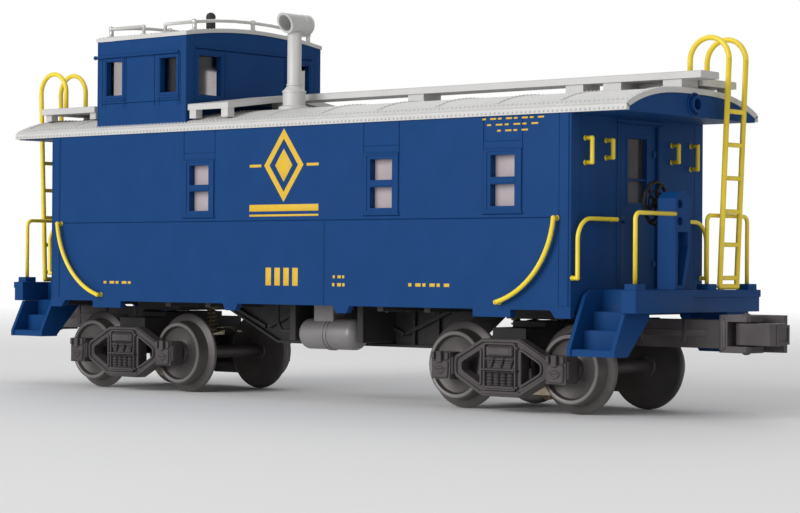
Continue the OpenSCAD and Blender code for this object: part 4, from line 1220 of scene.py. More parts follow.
@dataclass
class Cupola:
    """The lookout on the roof: four panelled walls, a riveted cap and wire rails."""

    car: Measures
    thickness: float = 1.6
    side_pane: tuple[float, float, float, float] = (10.6, 3.1, 80.1, 89.3)
    end_pane: tuple[float, float, float, float] = (17.3, 4.1, 79.5, 90.0)
    gutter_z: float = 90.3
    pitch: float = 1.25
    rail_x: float = 16.3
    rail_h: float = 3.9
    rail_in: float = 4.0
    leg_xs: tuple[float, float] = (-3.3, 5.1)

    def _side(self) -> Shape:
        """The right-hand wall."""
        car = self.car
        middle, half, z0, z1 = self.side_pane
        # Painted shade in the scribed board and corner lines.
        reliefs = [
            *(scribe(u, 76.9, u, self.gutter_z, 0.18, 0.16, 0.85) for u in (-15.4, -5.9, 5.3, 15.1)),
            scribe(-15.4, 77.9, 15.1, 77.9, 0.14, 0.15, 0.8),
            scribe(-16.9, 73.0, -16.9, 94.4, 0.06, 0.1, 0.4),
            scribe(16.9, 73.0, 16.9, 94.4, 0.06, 0.1, 0.4),
        ]
        for s in (-1, 1):
            m = s * middle
            reliefs += [
                Relief(m - half - 0.9, m + half + 0.9, z0 - 0.8, z1 + 0.7, 0.22, 0.05),
                Relief(m - half - 0.35, m + half + 0.35, z0 - 0.3, z1 + 0.25, -0.14, 0.05),
                Relief(m - half - 1.2, m + half + 1.2, z0 - 1.4, z0 - 0.95, 0.34, 0.05),
                Relief(m - half - 0.7, m - half - 0.3, z0 - 3.4, z0 - 1.5, 0.14, 0.05),
                Relief(m + half + 0.3, m + half + 0.7, z0 - 3.4, z0 - 1.5, 0.14, 0.05),
            ]
        length = car.cupola_half_l
        bottom = float(car.roof_top(car.cupola_y))
        return Panel(
            (-length, length), (bottom, car.cupola_eave_z), self.thickness,
            lambda u, v, h: stacked(car.cupola_x + u, -car.cupola_y - h, v), reliefs,
            [(s * middle - half, s * middle + half, z0, z1) for s in (-1, 1)],
        ).shape()

    def _end(self) -> Shape:
        """The front wall, placed about the cupola's own middle."""
        car = self.car
        middle, half, z0, z1 = self.end_pane
        inner = car.cupola_y - self.thickness
        # Painted shade in the scribed lines, heavier at the right-hand seam than the left.
        reliefs = [
            Relief(-22.6, 22.6, 91.85, 92.3, 0.3, 0.05),
            scribe(-22.6, 91.66, 22.6, 91.66, 0.14, 0.12, 1.0),
            scribe(-11.6, 76.6, -11.6, 91.4, 0.12, 0.13, 0.7),
            scribe(11.6, 76.6, 11.6, 91.4, 0.12, 0.13, 0.9),
            scribe(-23.4, 75.5, -23.4, 94.6, 0.08, 0.12, 0.5),
            scribe(23.4, 75.5, 23.4, 94.6, 0.08, 0.12, 0.5),
        ]
        for s in (-1, 1):
            m = s * middle
            reliefs += [
                Relief(m - half - 1.15, m + half + 1.15, z0 - 1.0, z1 + 1.0, 0.26, 0.05),
                Relief(m - half - 0.5, m + half + 0.5, z0 - 0.4, z1 + 0.4, -0.16, 0.05),
                Relief(m - half - 1.4, m + half + 1.4, z0 - 1.6, z0 - 1.1, 0.36, 0.05),
            ]
        return Panel(
            (-inner, inner), (75.4, 94.7), self.thickness,
            lambda u, v, h: stacked(car.cupola_half_l + h, u, v), reliefs,
            [(s * middle - half, s * middle + half, z0, z1) for s in (-1, 1)],
            more_u=np.linspace(-inner, inner, 31), more_v=[75.7],
            bottom=lambda u: np.minimum(car.roof_top(u) + 0.05, 75.65), top=car.cupola_top,
        ).shape()

    def _corners(self) -> Shape:
        """The cupola's four corner posts, which close the joint between its side and end walls."""
        car = self.car
        x, y = car.cupola_half_l, car.cupola_y
        low = float(car.roof_top(y))
        post = block((x - 0.5, -y - 0.04, low), (x + 0.06, -y + 1.7, car.cupola_eave_z + 0.1), 0.05).both_sides()
        return Shape.union([post, post.mirrored(0)]).moved(x=car.cupola_x)

    def _gutters(self) -> Shape:
        """A ledge along each side under the eave, with a knob at its rear end."""
        car = self.car
        x0, x1 = car.cupola_x - car.cupola_half_l - 0.7, car.cupola_x + car.cupola_half_l - 2.6
        y = -car.cupola_y
        knob = [(0.0, 0.62), (0.3, 0.55), (0.52, 0.3), (0.6, 0.0), (0.52, -0.3), (0.3, -0.55), (0.0, -0.62)]
        parts = [block((x0, y - 0.7, self.gutter_z), (x1, y + 0.1, self.gutter_z + 0.7), 0.14),
                 revolve(knob, (x0 + 0.2, y - 0.35, self.gutter_z + 0.35), X_AXIS, 20)]
        return Shape.union(parts).both_sides()

    def _cap(self) -> Shape:
        """The thin cap, raised along its four edges."""
        car = self.car
        x, y = car.cupola_half_l + 0.3, car.cupola_y + 0.3
        band = 1.5
        reliefs = [Relief(-x, x, *sorted((s * (y - band), s * y)), 0.12, 0.06) for s in (-1, 1)]
        reliefs += [
            Relief(*sorted((s * (x - band), s * x)), -y + band + 0.1, y - band - 0.1, 0.12, 0.06) for s in (-1, 1)
        ]
        reliefs += [Relief(-0.5, 0.5, -y + band + 0.1, y - band - 0.1, 0.08, 0.06)]
        return Panel(
            (-x, x), (-y, y), 0.9,
            lambda u, v, h: stacked(car.cupola_x + u, v, car.cupola_top(v) + car.cupola_roof_t + h), reliefs,
            more_v=np.linspace(-y, y, 41),
        ).shape()

    def _cap_rivets(self) -> Shape:
        """Rivets round the cap's four edges and down its middle seam, and along its rim."""
        car = self.car
        x, y = car.cupola_half_l - 0.45, car.cupola_y - 0.45
        lines = [row((-x, s * y, 0), (x, s * y, 0), self.pitch) for s in (-1, 1)]
        lines += [row((s * x, -y, 0), (s * x, y, 0), self.pitch) for s in (-1, 1)]
        lines.append(row((0, -y + 1.5, 0), (0, y - 1.5, 0), 1.6))
        seats = np.concatenate(lines)
        seats[:, 2] = car.cupola_top(seats[:, 1]) + car.cupola_roof_t + 0.11
        return rivets(seats + (car.cupola_x, 0, 0), Z_AXIS, 0.28, 0.2)

    def _rail_feet(self) -> Shape:
        """A round foot under each stanchion and leg, and an eye where a stanchion meets the wire."""
        car = self.car
        stand_y, ends = car.cupola_y - self.rail_in, (-self.rail_x, self.rail_x)
        foot = [(0.0, 0.5), (0.7, 0.46), (1.0, 0.28), (1.1, 0.0), (1.1, -0.35), (0.0, -0.35)]
        eye = [(0.0, 0.8), (0.42, 0.7), (0.72, 0.4), (0.82, 0.0), (0.72, -0.4), (0.42, -0.7), (0.0, -0.8)]
        wire_z = car.cupola_eave_z + self.rail_h
        rise = car.cupola_top(0) - car.cupola_top(stand_y)
        feet = [(x, y) for x in ends for y in (-stand_y, 0.0, stand_y)]
        feet += [(x, y) for x in self.leg_xs for y in (-stand_y, stand_y)]
        parts = [revolve(foot, (x, y, float(car.cupola_top(y) + car.cupola_roof_t)), Z_AXIS, 20) for x, y in feet]
        heights = ((-stand_y, wire_z), (0.0, wire_z + rise), (stand_y, wire_z))
        parts += [revolve(eye, (x, y, z), Y_AXIS, 18) for x in ends for y, z in heights]
        return Shape.union(parts).moved(x=car.cupola_x)

    def _vent_bands(self) -> Shape:
        """A foot ring and two upright ribs on the post."""
        low, high = cad_box("cupola_vent")
        x, y = (low[:2] + high[:2]) / 2
        ring = [(1.2, low[2]), (1.75, low[2]), (1.75, low[2] + 0.4), (1.55, low[2] + 0.6), (1.2, low[2] + 0.6)]
        ribs = [
            block((x + dx - 0.2, y + dy - 0.2, low[2] + 0.4), (x + dx + 0.2, y + dy + 0.2, high[2] - 1.4), 0.1)
            for dx, dy in ((0.0, -1.3), (1.3, 0.0), (0.0, 1.3), (-1.3, 0.0))
        ]
        return Shape.union([revolve(ring, (x, y, 0.0), Z_AXIS, 32, ring=True), *ribs])

    def build(self) -> None:
        """Builds the cupola."""
        side, end = self._side(), self._end()
        add("cupola_side_right_panelled", side, Paint.BODY, replaces=["cupola_side_right"])
        add("cupola_side_left_panelled", side.mirrored(1), Paint.BODY, replaces=["cupola_side_left"])
        add("cupola_end_front_panelled", end.moved(x=self.car.cupola_x), Paint.BODY, replaces=["cupola_end_front"])
        add(
            "cupola_end_rear_panelled", end.turned().moved(x=self.car.cupola_x), Paint.BODY,
            replaces=["cupola_end_rear"]
        )
        add("cupola_corner_posts", self._corners(), Paint.BODY)
        add("cupola_gutters", self._gutters(), Paint.BODY)
        add("cupola_cap", self._cap(), Paint.ROOF, replaces=["cupola_roof"], sharp=26)
        add("cupola_cap_rivets", self._cap_rivets(), Paint.ROOF, sharp=50)
        soften("cupola_rails", 0.0, 40)
        add("cupola_rail_feet", self._rail_feet(), Paint.RAIL_SILVER, sharp=50)
        soften("cupola_vent", 0.0, 40)
        add("cupola_vent_bands", self._vent_bands(), Paint.UNDERFRAME)


# ---- Platforms ----


@dataclass
class EndPlatform:
    """One end platform with its steps, railings, ladder, brake gear and grab irons."""

    car: Measures
    name: str
    rear: bool
    board: float = 2.2
    wheel_r: float = 4.85
    stand_y: float = -4.7

    def _put(self, shape: Shape) -> Shape:
        """The shape at this platform's end."""
        return shape.turned() if self.rear else shape

    def _deck(self) -> Shape:
        """Boards across the platform's deck."""
        car = self.car
        x0, x1 = car.body_x + 0.1, car.beam_x - 4.0
        # Painted shade in the deck's board seams.
        seams = [scribe(x, -15.9, x, 15.9, 0.1, 0.1, 0.7) for x in np.arange(x0 + self.board, x1 - 0.5, self.board)]
        return Panel(
            (x0, x1), (-15.9, 15.9), 0.1, lambda u, v, h: stacked(u, v, car.platform_z + 0.12 + h), seams,
        ).shape()

    def _treads(self) -> Shape:
        """Two fine ribs along the nosing of each step, on both sides of the car."""
        car = self.car
        riser, run, lip_z, rise = car.body_y - 10.0, 3.6, car.sill_z - 10.2 + 1.5, 4.2
        x0, x1 = car.body_x + 2.1, car.body_x + 0.9 + 13.2 - 1.2
        parts = []
        for i in range(3):
            y, z = riser + run * (2 - i), lip_z + rise * i
            wide = run if i else 4.6
            parts += [
                block((x0, y + wide - d - 0.3, z - 0.05), (x1, y + wide - d, z + 0.14), 0.05) for d in (0.35, 1.05)
            ]
        return Shape.union(parts).both_sides()

    def _brake_wheel(self) -> Shape:
        """A spoked hand wheel: a round rim, curved spokes, a hub and its shaft."""
        low, high = cad_box("brake_wheel_front")
        x = low[0] + 0.7
        z = (low[2] + high[2]) / 2
        centre = np.array([x, self.stand_y, z])
        rim_angle = np.linspace(0, 2 * math.pi, 72, endpoint=False)
        wave = self.wheel_r + 0.12 * np.cos(12 * rim_angle)
        rim = centre + np.stack([np.zeros(72), wave * np.cos(rim_angle), wave * np.sin(rim_angle)], -1)
        parts = [tube(rim, 0.46, X_AXIS, 12, closed=True)]
        turn = np.linspace(0, 2 * math.pi, 40, endpoint=False)
        inner = centre + np.stack([np.full(40, 0.05), 2.9 * np.cos(turn), 2.9 * np.sin(turn)], -1)
        parts.append(tube(inner, 0.26, X_AXIS, 8, closed=True))
        share = np.linspace(0, 1, 12)
        for start in np.arange(6) * math.pi / 3:
            angle = start + 0.55 * np.sin(math.pi * share) * (1 - 0.3 * share)
            reach = 0.9 + (self.wheel_r - 0.9) * share
            path = centre + np.stack([0.35 * np.sin(math.pi * share), reach * np.cos(angle), reach * np.sin(angle)], -1)
            parts.append(tube(path, 0.36, X_AXIS, 8))
        hub = [
            (0.0, -0.75), (0.8, -0.72), (1.15, -0.45), (1.25, 0.0), (1.15, 0.6), (0.85, 0.8), (0.85, high[0] - x),
            (0.0, high[0] - x)
        ]
        parts.append(revolve(hub, centre, X_AXIS, 32))
        return Shape.union(parts)

    def _grab_feet(self) -> Shape:
        """A round foot where each grab iron meets its wall."""
        car = self.car
        x, z = car.body_x, car.sill_z
        foot = [(0.0, 0.3), (0.4, 0.28), (0.6, 0.15), (0.65, 0.0), (0.65, -0.1), (0.0, -0.1)]
        spots = [
            (car.body_y - 5.3, 33.8), (car.body_y - 5.3, 39.4), (car.body_y - 13.5, 35.2),
            (car.body_y - 13.5, 39.2), (11.2, 21.0), (car.body_y - 0.6, 7.4)
        ]
        ends = Shape.union([revolve(foot, (x, y, z + h), X_AXIS, 18) for y, h in spots]).both_sides()
        angle = np.radians([-75.0, -6.0])
        tips = [(x - 26.3 + 22.5 * math.cos(a), -car.body_y, z + 23.4 + 22.5 * math.sin(a)) for a in angle]
        side = Shape.union([revolve(foot, tip, -Y_AXIS, 18) for tip in tips]).both_sides()
        return Shape.union([ends, side])

    def build(self) -> None:
        """Builds one end."""
        end = self.name
        for node, bevel in (("platform", 0.16), ("steps", 0.14), ("brake_stand", 0.2)):
            soften(f"{node}_{end}", bevel)
        for node in ("railing", "ladder", "end_grabs"):
            soften(f"{node}_{end}", 0.0, 45)
        add(f"deck_boards_{end}", self._put(self._deck()), Paint.BODY)
        add(f"step_ribs_{end}", self._put(self._treads()), Paint.BODY)
        add(f"hand_brake_{end}", self._put(self._brake_wheel()), Paint.BRAKE, replaces=[f"brake_wheel_{end}"], sharp=45)
        add(f"grab_feet_{end}", self._put(self._grab_feet()), Paint.RAIL, sharp=45)


# ---- Underframe ----


@dataclass
class Underframe:
    """What hangs under the floor between the trucks."""

    car: Measures
    bands: tuple[float, float] = (-0.75, 0.35)

    def _tank(self) -> Shape:
        """The air tank: domed ends, two bands round its middle and a pipe stub at each end."""
        low, high = cad_box("air_tank")
        half, r = (high[0] - low[0]) / 2 - 0.5, (high[1] - low[1]) / 2
        x, y, z = (low[0] + high[0]) / 2, (low[1] + high[1]) / 2, low[2] + r
        bow = np.linspace(0, math.pi / 2, 10)
        dome = [(r * math.sin(a), -half + 2.6 * (1 - math.cos(a))) for a in bow]
        body = [
            (0.0, -half - 0.5), (1.1, -half - 0.5), (1.2, -half - 0.4), (1.2, -half + 0.1), *dome[4:],
            *[(p, -s) for p, s in reversed(dome[4:])], (1.2, half - 0.1), (1.2, half + 0.4), (1.1, half + 0.5),
            (0.0, half + 0.5)
        ]
        parts = [revolve(body, (x, y, z), X_AXIS, 64)]
        for at in self.bands:
            band = [
                (r - 0.05, at), (r + 0.2, at + 0.06), (r + 0.24, at + 0.28), (r + 0.2, at + 0.5),
                (r - 0.05, at + 0.56)
            ]
            parts.append(revolve(band, (x, y, z), X_AXIS, 64, ring=True))
        parts.append(block((x - 4.7, y - 2.4, z + r - 0.8), (x + 2.0, y + 2.4, high[2]), 0.2))
        return Shape.union(parts)

    def _braces(self) -> Shape:
        """Sloping struts between the floor and the foot of the middle beam, on both sides, and its flanges."""
        z = self.car.sill_z
        section = np.array([(-0.45, -0.5), (0.45, -0.5), (0.45, 0.5), (-0.45, 0.5)])
        parts = []
        for a, b in (
            ((4.0, 0.3), (21.8, -7.4)), ((41.0, 0.4), (22.4, -7.2)), ((-9.0, 0.3), (-26.0, -6.4)),
            ((-43.0, 0.4), (-27.0, -6.4))
        ):
            path = np.array([(a[0], -6.2, z + a[1]), (b[0], -5.6, z + b[1])])
            parts.append(sweep(path, section, Y_AXIS))
        struts = Shape.union(parts).both_sides()
        low, high = cad_box("centre_sill")
        foot = low[2]
        outline = [(45.6, high[2] - 2.1), (35.0, foot), (-22.0, foot), (-40.8, high[2] - 2.1)]
        flange = sweep(
            np.array([(x, 0.0, h) for x, h in outline]),
            np.array([(-0.35, -6.4), (0.3, -6.4), (0.3, 6.4), (-0.35, 6.4)]), Y_AXIS
        )
        ribs = [
            block((x - 0.4, -6.0, foot + 0.2), (x + 0.4, 6.0, high[2]), 0.1)
            for x in (-18.0, -6.0, 12.5, 25.0, 33.0)
        ]
        return Shape.union([struts, flange, *ribs])

    def _pipes(self) -> Shape:
        """The brake pipe along the left side, and rods from the middle beam up to the floor."""
        z = self.car.sill_z
        pipe_x, pipe_y, pipe_z = 35.0, 11.0, z - 4.2
        rod_y, feed_y, tap_y = 7.6, -15.0, -12.5
        pipe = tube([(x, pipe_y, pipe_z) for x in (pipe_x, 0.0, -pipe_x)], 0.7)
        rods = [tube([(s * 22.0, rod_y, z - 6.5), (s * 36.0, rod_y, z + 0.6)], 0.5) for s in (-1, 1)]
        hangers = [
            block((x - 0.5, pipe_y - 0.8, z - 5.1), (x + 0.5, pipe_y + 0.8, z + 0.6), 0.1)
            for x in (-33.0, -11.0, 11.0, 33.0)
        ]
        feed = tube(
            [(-6.2, feed_y, z - 7.0), (-12.0, feed_y, z - 7.0), (-16.0, tap_y, z - 5.0), (-16.0, tap_y, z + 0.6)],
            0.45, Y_AXIS
        )
        return Shape.union([pipe, *rods, *hangers, feed])

    def _cross_beams(self) -> Shape:
        """Beams across the floor's underside, with their bolts."""
        z = self.car.sill_z
        beams = [block((x - 1.0, -24.6, z - 1.2), (x + 1.0, 24.6, z + 0.6), 0.12) for x in (-45.0, -30.0, 30.0, 45.0)]
        ends = [block((s * 86.0 - 1.0, -24.6, z - 1.4), (s * 86.0 + 1.0, 24.6, z + 0.6), 0.12) for s in (-1, 1)]
        seats = [(x, y, z - 1.2) for x in (-45.0, -30.0, 30.0, 45.0) for y in (-22.0, -14.0, 14.0, 22.0)]
        return Shape.union([*beams, *ends, rivets(np.array(seats), -Z_AXIS, 0.5, 0.3, 8)])

    def build(self) -> None:
        """Builds the underframe's pieces."""
        add("air_tank_banded", self._tank(), Paint.TANK, replaces=["air_tank"], sharp=40)
        soften("centre_sill", 0.2)
        soften("floor_pan", 0.15)
        add("underframe_braces", self._braces(), Paint.UNDERFRAME)
        add("underframe_pipes", self._pipes(), Paint.UNDERFRAME, sharp=45)
        add("underframe_beams", self._cross_beams(), Paint.UNDERFRAME)


# ---- Trucks ----


@dataclass
class Truck:
    """One truck: side frames with their springs and boxes, wheelsets, current pickup and coupler."""

    car: Measures
    name: str
    rear: bool
    centre_x: float = 65.4
    axle_z: float = 10.6
    half_base: float = 17.15
    face_y: float = 21.7

    def _put(self, shape: Shape) -> Shape:
        """The shape at this truck's end."""
        return shape.turned() if self.rear else shape

    @property
    def body(self) -> str:
        """The truck's CAD body."""
        return f"truck_{self.name}"

    def _band(self, outline: Sequence[Sequence[float]], width: float, out: float, y: float) -> Shape:
        """A raised band round a closed outline on the right-hand frame's face, given as x and z from its middle."""
        flat = np.asarray(outline, float)
        path = np.stack([self.centre_x + flat[:, 0], np.full(len(flat), -y), self.axle_z + flat[:, 1]], -1)
        w = width / 2
        section = np.array([(-w, -0.2), (w, -0.2), (w, out * 0.7), (w * 0.55, out), (-w * 0.55, out), (-w, out * 0.7)])
        return sweep(path, section, -Y_AXIS, closed=True)

    @staticmethod
    def _rounded(corners: Sequence[Sequence[float]], radius: float, steps: int = 4) -> np.ndarray:
        """An outline whose corners are cut by quadratic curves: (1-t)^2 a + 2t(1-t) corner + t^2 b."""
        p = np.asarray(corners, float)
        a = p + unit(np.roll(p, 1, 0) - p) * radius
        b = p + unit(np.roll(p, -1, 0) - p) * radius
        t = np.linspace(0, 1, steps + 1)[None, :, None]
        return ((1 - t) ** 2 * a[:, None] + 2 * t * (1 - t) * p[:, None] + t**2 * b[:, None]).reshape(-1, 2)

    def _frame_relief(self) -> Shape:
        """The raised rims, the spring group, the bolster's end and the ledges of one side frame."""
        y = self.face_y
        x0, z0 = self.centre_x, self.axle_z
        hexagon = self._rounded(
            [
                (-5.3, -6.45), (5.3, -6.45), (13.6, -1.9), (13.6, 1.9), (5.3, 6.25), (-5.3, 6.25), (-13.6, 1.9),
                (-13.6, -1.9)
            ],
            0.8
        )
        parts = [self._band(hexagon, 0.75, 0.55, y)]
        for s in (-1, 1):
            opening = [(s * 5.9, -4.4), (s * 12.0, -1.1), (s * 12.0, 1.1), (s * 5.9, 4.4)]
            opening = opening if s > 0 else opening[::-1]
            parts.append(self._band(self._rounded(opening, 0.9), 0.6, 0.45, y))
        panel = self._rounded([(-4.6, -5.2), (4.6, -5.2), (4.6, 5.6), (-4.6, 5.6)], 0.7)
        parts.append(self._band(panel, 0.55, 0.75, y))
        face = -y

        def boss(x_low: float, x_high: float, z_low: float, z_high: float, out: float, bevel: float = 0.12) -> Shape:
            """A raised block on the frame's face."""
            return block((x0 + x_low, face - out, z0 + z_low), (x0 + x_high, face + 0.2, z0 + z_high), bevel)

        parts += [
            boss(-3.9, 3.9, 2.6, 5.0, 0.95, 0.25), boss(
                -3.2, 3.2, 2.95, 4.65, 1.1, 0.12
            ), boss(-5.2, 5.2, -0.75, -0.25, 1.2),
            boss(-4.3, 4.3, -5.0, -4.3, 0.9), boss(-5.9, 5.9, -6.3, -5.5, 0.7), boss(-4.3, 4.3, -1.2, -0.8, 0.6),
        ]
        for cx in (-2.9, 0.0, 2.9):
            fan = [(cx - 1.25, 2.4), (cx - 0.3, 0.1), (cx + 0.3, 0.1), (cx + 1.25, 2.4)]
            for k in range(3):
                w, h = 1.3 - 0.38 * k, 2.15 - 0.62 * k
                parts.append(boss(cx - w, cx + w, h - 0.42, h, 0.95 - 0.12 * k, 0.1))
            parts.append(slab([(p[0], p[1]) for p in fan], 0.5, 0.1, (x0, face, z0 - 0.1), X_AXIS, Z_AXIS))
        coil_r = 0.98
        wave = np.linspace(-4.2, -1.3, 34)
        profile = np.stack([coil_r - 0.16 + 0.16 * np.cos((wave + 4.2) * 2 * math.pi / 0.72), wave], -1)
        profile = np.concatenate([[(0.0, wave[0])], profile, [(0.0, wave[-1])]])
        for cx in (-3.0, -1.0, 1.0, 3.0):
            parts.append(revolve(profile, (x0 + cx, face - 0.1, z0), Z_AXIS, 18))
        seats = [(x0 + sx * 5.0, face - 0.4, z0 + z) for sx in (-1, 1) for z in (4.6, -4.6)]
        seats += [(x0 + sx * 12.9, face - 0.3, z0 + sz * 2.4) for sx in (-1, 1) for sz in (-1, 1)]
        parts.append(rivets(np.array(seats), -Y_AXIS, 0.38, 0.3, 8))
        return Shape.union(parts)

    def _axle_boxes(self) -> Shape:
        """The lids, lugs and bolts on the ends of the axle boxes."""
        y = -self.face_y - 1.5
        parts = []
        for s in (-1, 1):
            x = self.centre_x + s * self.half_base
            z = self.axle_z
            lid = self._rounded([(-2.3, -2.9), (2.3, -2.9), (2.45, 1.2), (-2.45, 1.2)], 0.6, 3)
            parts.append(slab(lid, 0.5, 0.18, (x, y, z), X_AXIS, Z_AXIS))
            parts.append(block((x - 0.75, y - 0.95, z + 0.7), (x + 0.75, y + 0.1, z + 3.5), 0.15))
            parts += [
                block((x + d - 0.45, y - 0.65, z + 1.5), (x + d + 0.45, y + 0.1, z + 3.2), 0.12)
                for d in (-2.1, 2.1)
            ]
            sag = np.linspace(math.radians(195), math.radians(345), 12)
            arc = np.stack([x + 1.6 * np.cos(sag), np.full(12, y - 0.5), z + 0.1 + 1.9 * np.sin(sag)], -1)
            parts.append(tube(arc, 0.26, Y_AXIS, 8))
            parts.append(block((x - 1.0, y - 0.75, z - 0.9), (x + 1.0, y + 0.1, z - 0.1), 0.15))
            parts.append(block((x - 3.3, y + 0.3, z - 2.2), (x + 3.3, y + 1.7, z + 2.2), 0.25))
        return Shape.union(parts)

    def _wheelset(self, x: float) -> Shape:
        """Two wheels on their axle, turned from one profile of radius against distance from the middle, with a painted
        highlight at the rim's corners.
        """
        half = [
            (1.6, 12.6), (2.6, 12.7), (2.9, 13.0), (8.9, 13.25), (9.6, 13.1), (10.2, 13.2), (10.5, 13.4), (
                10.6, 13.75
            ), (10.5, 14.1),
            (
                10.1, 14.35
            ), (9.1, 14.5), (8.65, 14.7), (8.5, 15.0), (8.22, 17.75), (8.0, 17.98), (7.35, 18.0), (7.15, 17.9),
            (6.95, 17.3), (
                6.75, 16.95
            ), (6.3, 16.8), (3.6, 16.35), (3.15, 16.5), (2.95, 17.2), (2.75, 17.7), (2.4, 17.85),
            (1.25, 17.85), (1.1, 17.95), (1.0, 18.2), (1.0, 20.7), (0.8, 20.9), (0.0, 20.9),
        ]
        # Painted highlight: how far each corner of the profile takes the lighter steel.
        rim_painted_highlight = {(8.0, 17.98): 0.5, (7.35, 18.0): 1.0, (10.6, 13.75): 0.3}
        profile = [(r, -d) for r, d in reversed(half)] + [(1.6, -6.0), (1.6, 6.0)] + half
        tone = [rim_painted_highlight.get(p, 0.0) for p in reversed(half)] + [0.0, 0.0] + [rim_painted_highlight.get(p, 0.0) for p in half]
        return revolve(profile, (x, 0.0, self.axle_z), Y_AXIS, 96, accent=tone)

    def _pickup_trim(self) -> Shape:
        """The coil spring round the pickup's post, a washer and the spring strip beside it."""
        low, high = cad_box("pickup_front")
        x = low[0] + 1.9
        turns, steps = 5.5, 14
        angle = np.linspace(0, 2 * math.pi * turns, int(turns * steps))
        z = np.linspace(high[2] - 7.2, high[2] - 1.2, len(angle))
        helix = np.stack([x + 1.35 * np.cos(angle), 1.35 * np.sin(angle), z], -1)
        washer = [(0.75, 0.0), (1.75, 0.0), (1.75, 0.3), (0.75, 0.3)]
        parts = [tube(helix, 0.2, Z_AXIS, 6)]
        parts += [revolve(washer, (x, 0.0, h), Z_AXIS, 24, ring=True) for h in (high[2] - 7.5, high[2] - 1.0)]
        strip = np.array(
            [(x - 1.0, -2.0, high[2] - 6.6), (x - 5.0, -2.2, high[2] - 6.2), (x - 8.5, -2.2, high[2] - 7.4)]
        )
        parts.append(sweep(strip, np.array([(-0.9, -0.12), (0.9, -0.12), (0.9, 0.12), (-0.9, 0.12)]), Z_AXIS))
        return Shape.union(parts)

    def _coupler_trim(self) -> Shape:
        """Pins, ribs and lips on the coupler's shank and head."""
        pin_x, pin_y = 121.3, -3.6
        shank_y, post_x, post_y = 3.6, pin_x - 4.9, -5.7
        z0, z1 = 15.2, 23.7
        parts = [
            rivets(np.array([(pin_x, pin_y, z1)]), Z_AXIS, 1.0, 0.45, 16),
            rivets(np.array([(pin_x, pin_y, z0)]), -Z_AXIS, 1.0, 0.45, 16),
            block((116.2, -6.4, z0 + 0.9), (117.4, -6.1, z1 - 0.9), 0.12),
        ]
        parts += [block((x, -shank_y, 17.0), (x + 1.2, shank_y, 22.6), 0.15) for x in (80.0, 92.0, 104.0)]
        for y in (-shank_y + 0.25, shank_y - 0.25):
            parts.append(block((84.0, y - 0.15, 18.6), (110.5, y + 0.15, 20.2), 0.08))
        post = [(0.0, z0 + 0.6), (0.85, z0 + 0.6), (0.85, z1 - 0.6), (0.0, z1 - 0.6)]
        parts.append(revolve(post, (post_x, post_y, 0.0), Z_AXIS, 20))
        return Shape.union(parts)

    def _knuckle_trim(self) -> Shape:
        """A raised rim round the knuckle's outer end, which leaves its middle sunk."""
        low, high = cad_box("knuckle_front")
        x, z0, z1 = high[0], low[2], high[2]
        corners = [(-4.2, z0 + 0.6), (0.3, z0 + 0.6), (0.3, z1 - 0.6), (-4.2, z1 - 0.6)]
        path = np.array([(x - 0.05, y, z) for y, z in corners])
        section = np.array([(-0.3, -0.2), (0.3, -0.2), (0.3, 0.3), (-0.3, 0.3)])
        return sweep(path, section, X_AXIS, closed=True)

    def _bolster_trim(self) -> Shape:
        """The truck's cross timber, spring planks and brake beams."""
        x, z = self.centre_x, self.axle_z
        parts = [block((x - 3.6, -18.4, z - 4.4), (x + 3.6, 18.4, z - 3.4), 0.15)]
        for s in (-1, 1):
            parts.append(block((x + s * 5.3 - 0.5, -15.0, z - 1.0), (x + s * 5.3 + 0.5, 15.0, z + 1.4), 0.12))
            parts += [
                block(
                    (x + s * 5.9 - 0.35, t * 15.4 - 1.6, z - 3.6), (x + s * 5.9 + 0.35, t * 15.4 + 1.6, z + 3.8),
                    0.12
                )
                for t in (-1, 1)
            ]
        return Shape.union(parts)

    def build(self) -> None:
        """Builds the truck."""
        end = self.name
        sides = self._frame_relief(), self._axle_boxes()
        for side in ("right", "left"):
            soften(f"side_frame_{end}_{side}", 0.2)
            relief, boxes = (s if side == "right" else s.mirrored(1) for s in sides)
            if self.rear:
                relief, boxes = relief.mirrored(0), boxes.mirrored(0)
            add(f"frame_relief_{end}_{side}", relief, Paint.TRUCK, self.body, sharp=38)
            add(f"axle_box_lids_{end}_{side}", boxes, Paint.TRUCK, self.body, sharp=38)
        for place, x in (("outer", self.centre_x + self.half_base), ("inner", self.centre_x - self.half_base)):
            node = f"wheelset_{end}_{place}"
            add(node + "_turned", self._put(self._wheelset(x)), Paint.WHEEL, node, [node], sharp=30)
        # The bolster takes the darker copy of the truck grey as painted shade.
        soften(f"truck_bolster_{end}", 0.2, paint=Paint.BOLSTER)
        for node, bevel in (("coupler", 0.22), ("pickup", 0.0)):
            soften(f"{node}_{end}", bevel)
        soften(f"knuckle_{end}", 0.22)
        add(f"pickup_spring_{end}", self._put(self._pickup_trim()), Paint.BRASS, self.body, sharp=45)
        add(f"coupler_fittings_{end}", self._put(self._coupler_trim()), Paint.TRUCK, self.body, sharp=45)
        add(f"bolster_fittings_{end}", self._put(self._bolster_trim()), Paint.UNDERFRAME, self.body)
        add(f"knuckle_rim_{end}", self._put(self._knuckle_trim()), Paint.TRUCK, f"knuckle_{end}")


# ---- The rest of the CAD nodes, and the studio ----


class Panes:
    """The glazing and the pins that keep their CAD meshes."""

    OWN = {"cupola_glass": Paint.PANE_CLEAR, "door_glass": Paint.PANE_DARK}

    def build(self) -> None:
        """Gives every CAD node that is still shown its finish."""
        for node, piece in frame["nodes"].items():
            if piece.hide_render:
                continue
            paint = self.OWN.get(node, Paint.of_slot(slot_of(node)))
            piece.data.materials.clear()
            piece.data.materials.append(paint.finish.material())
            LOG.info("%s: kept, %s", node, paint.finish.name)


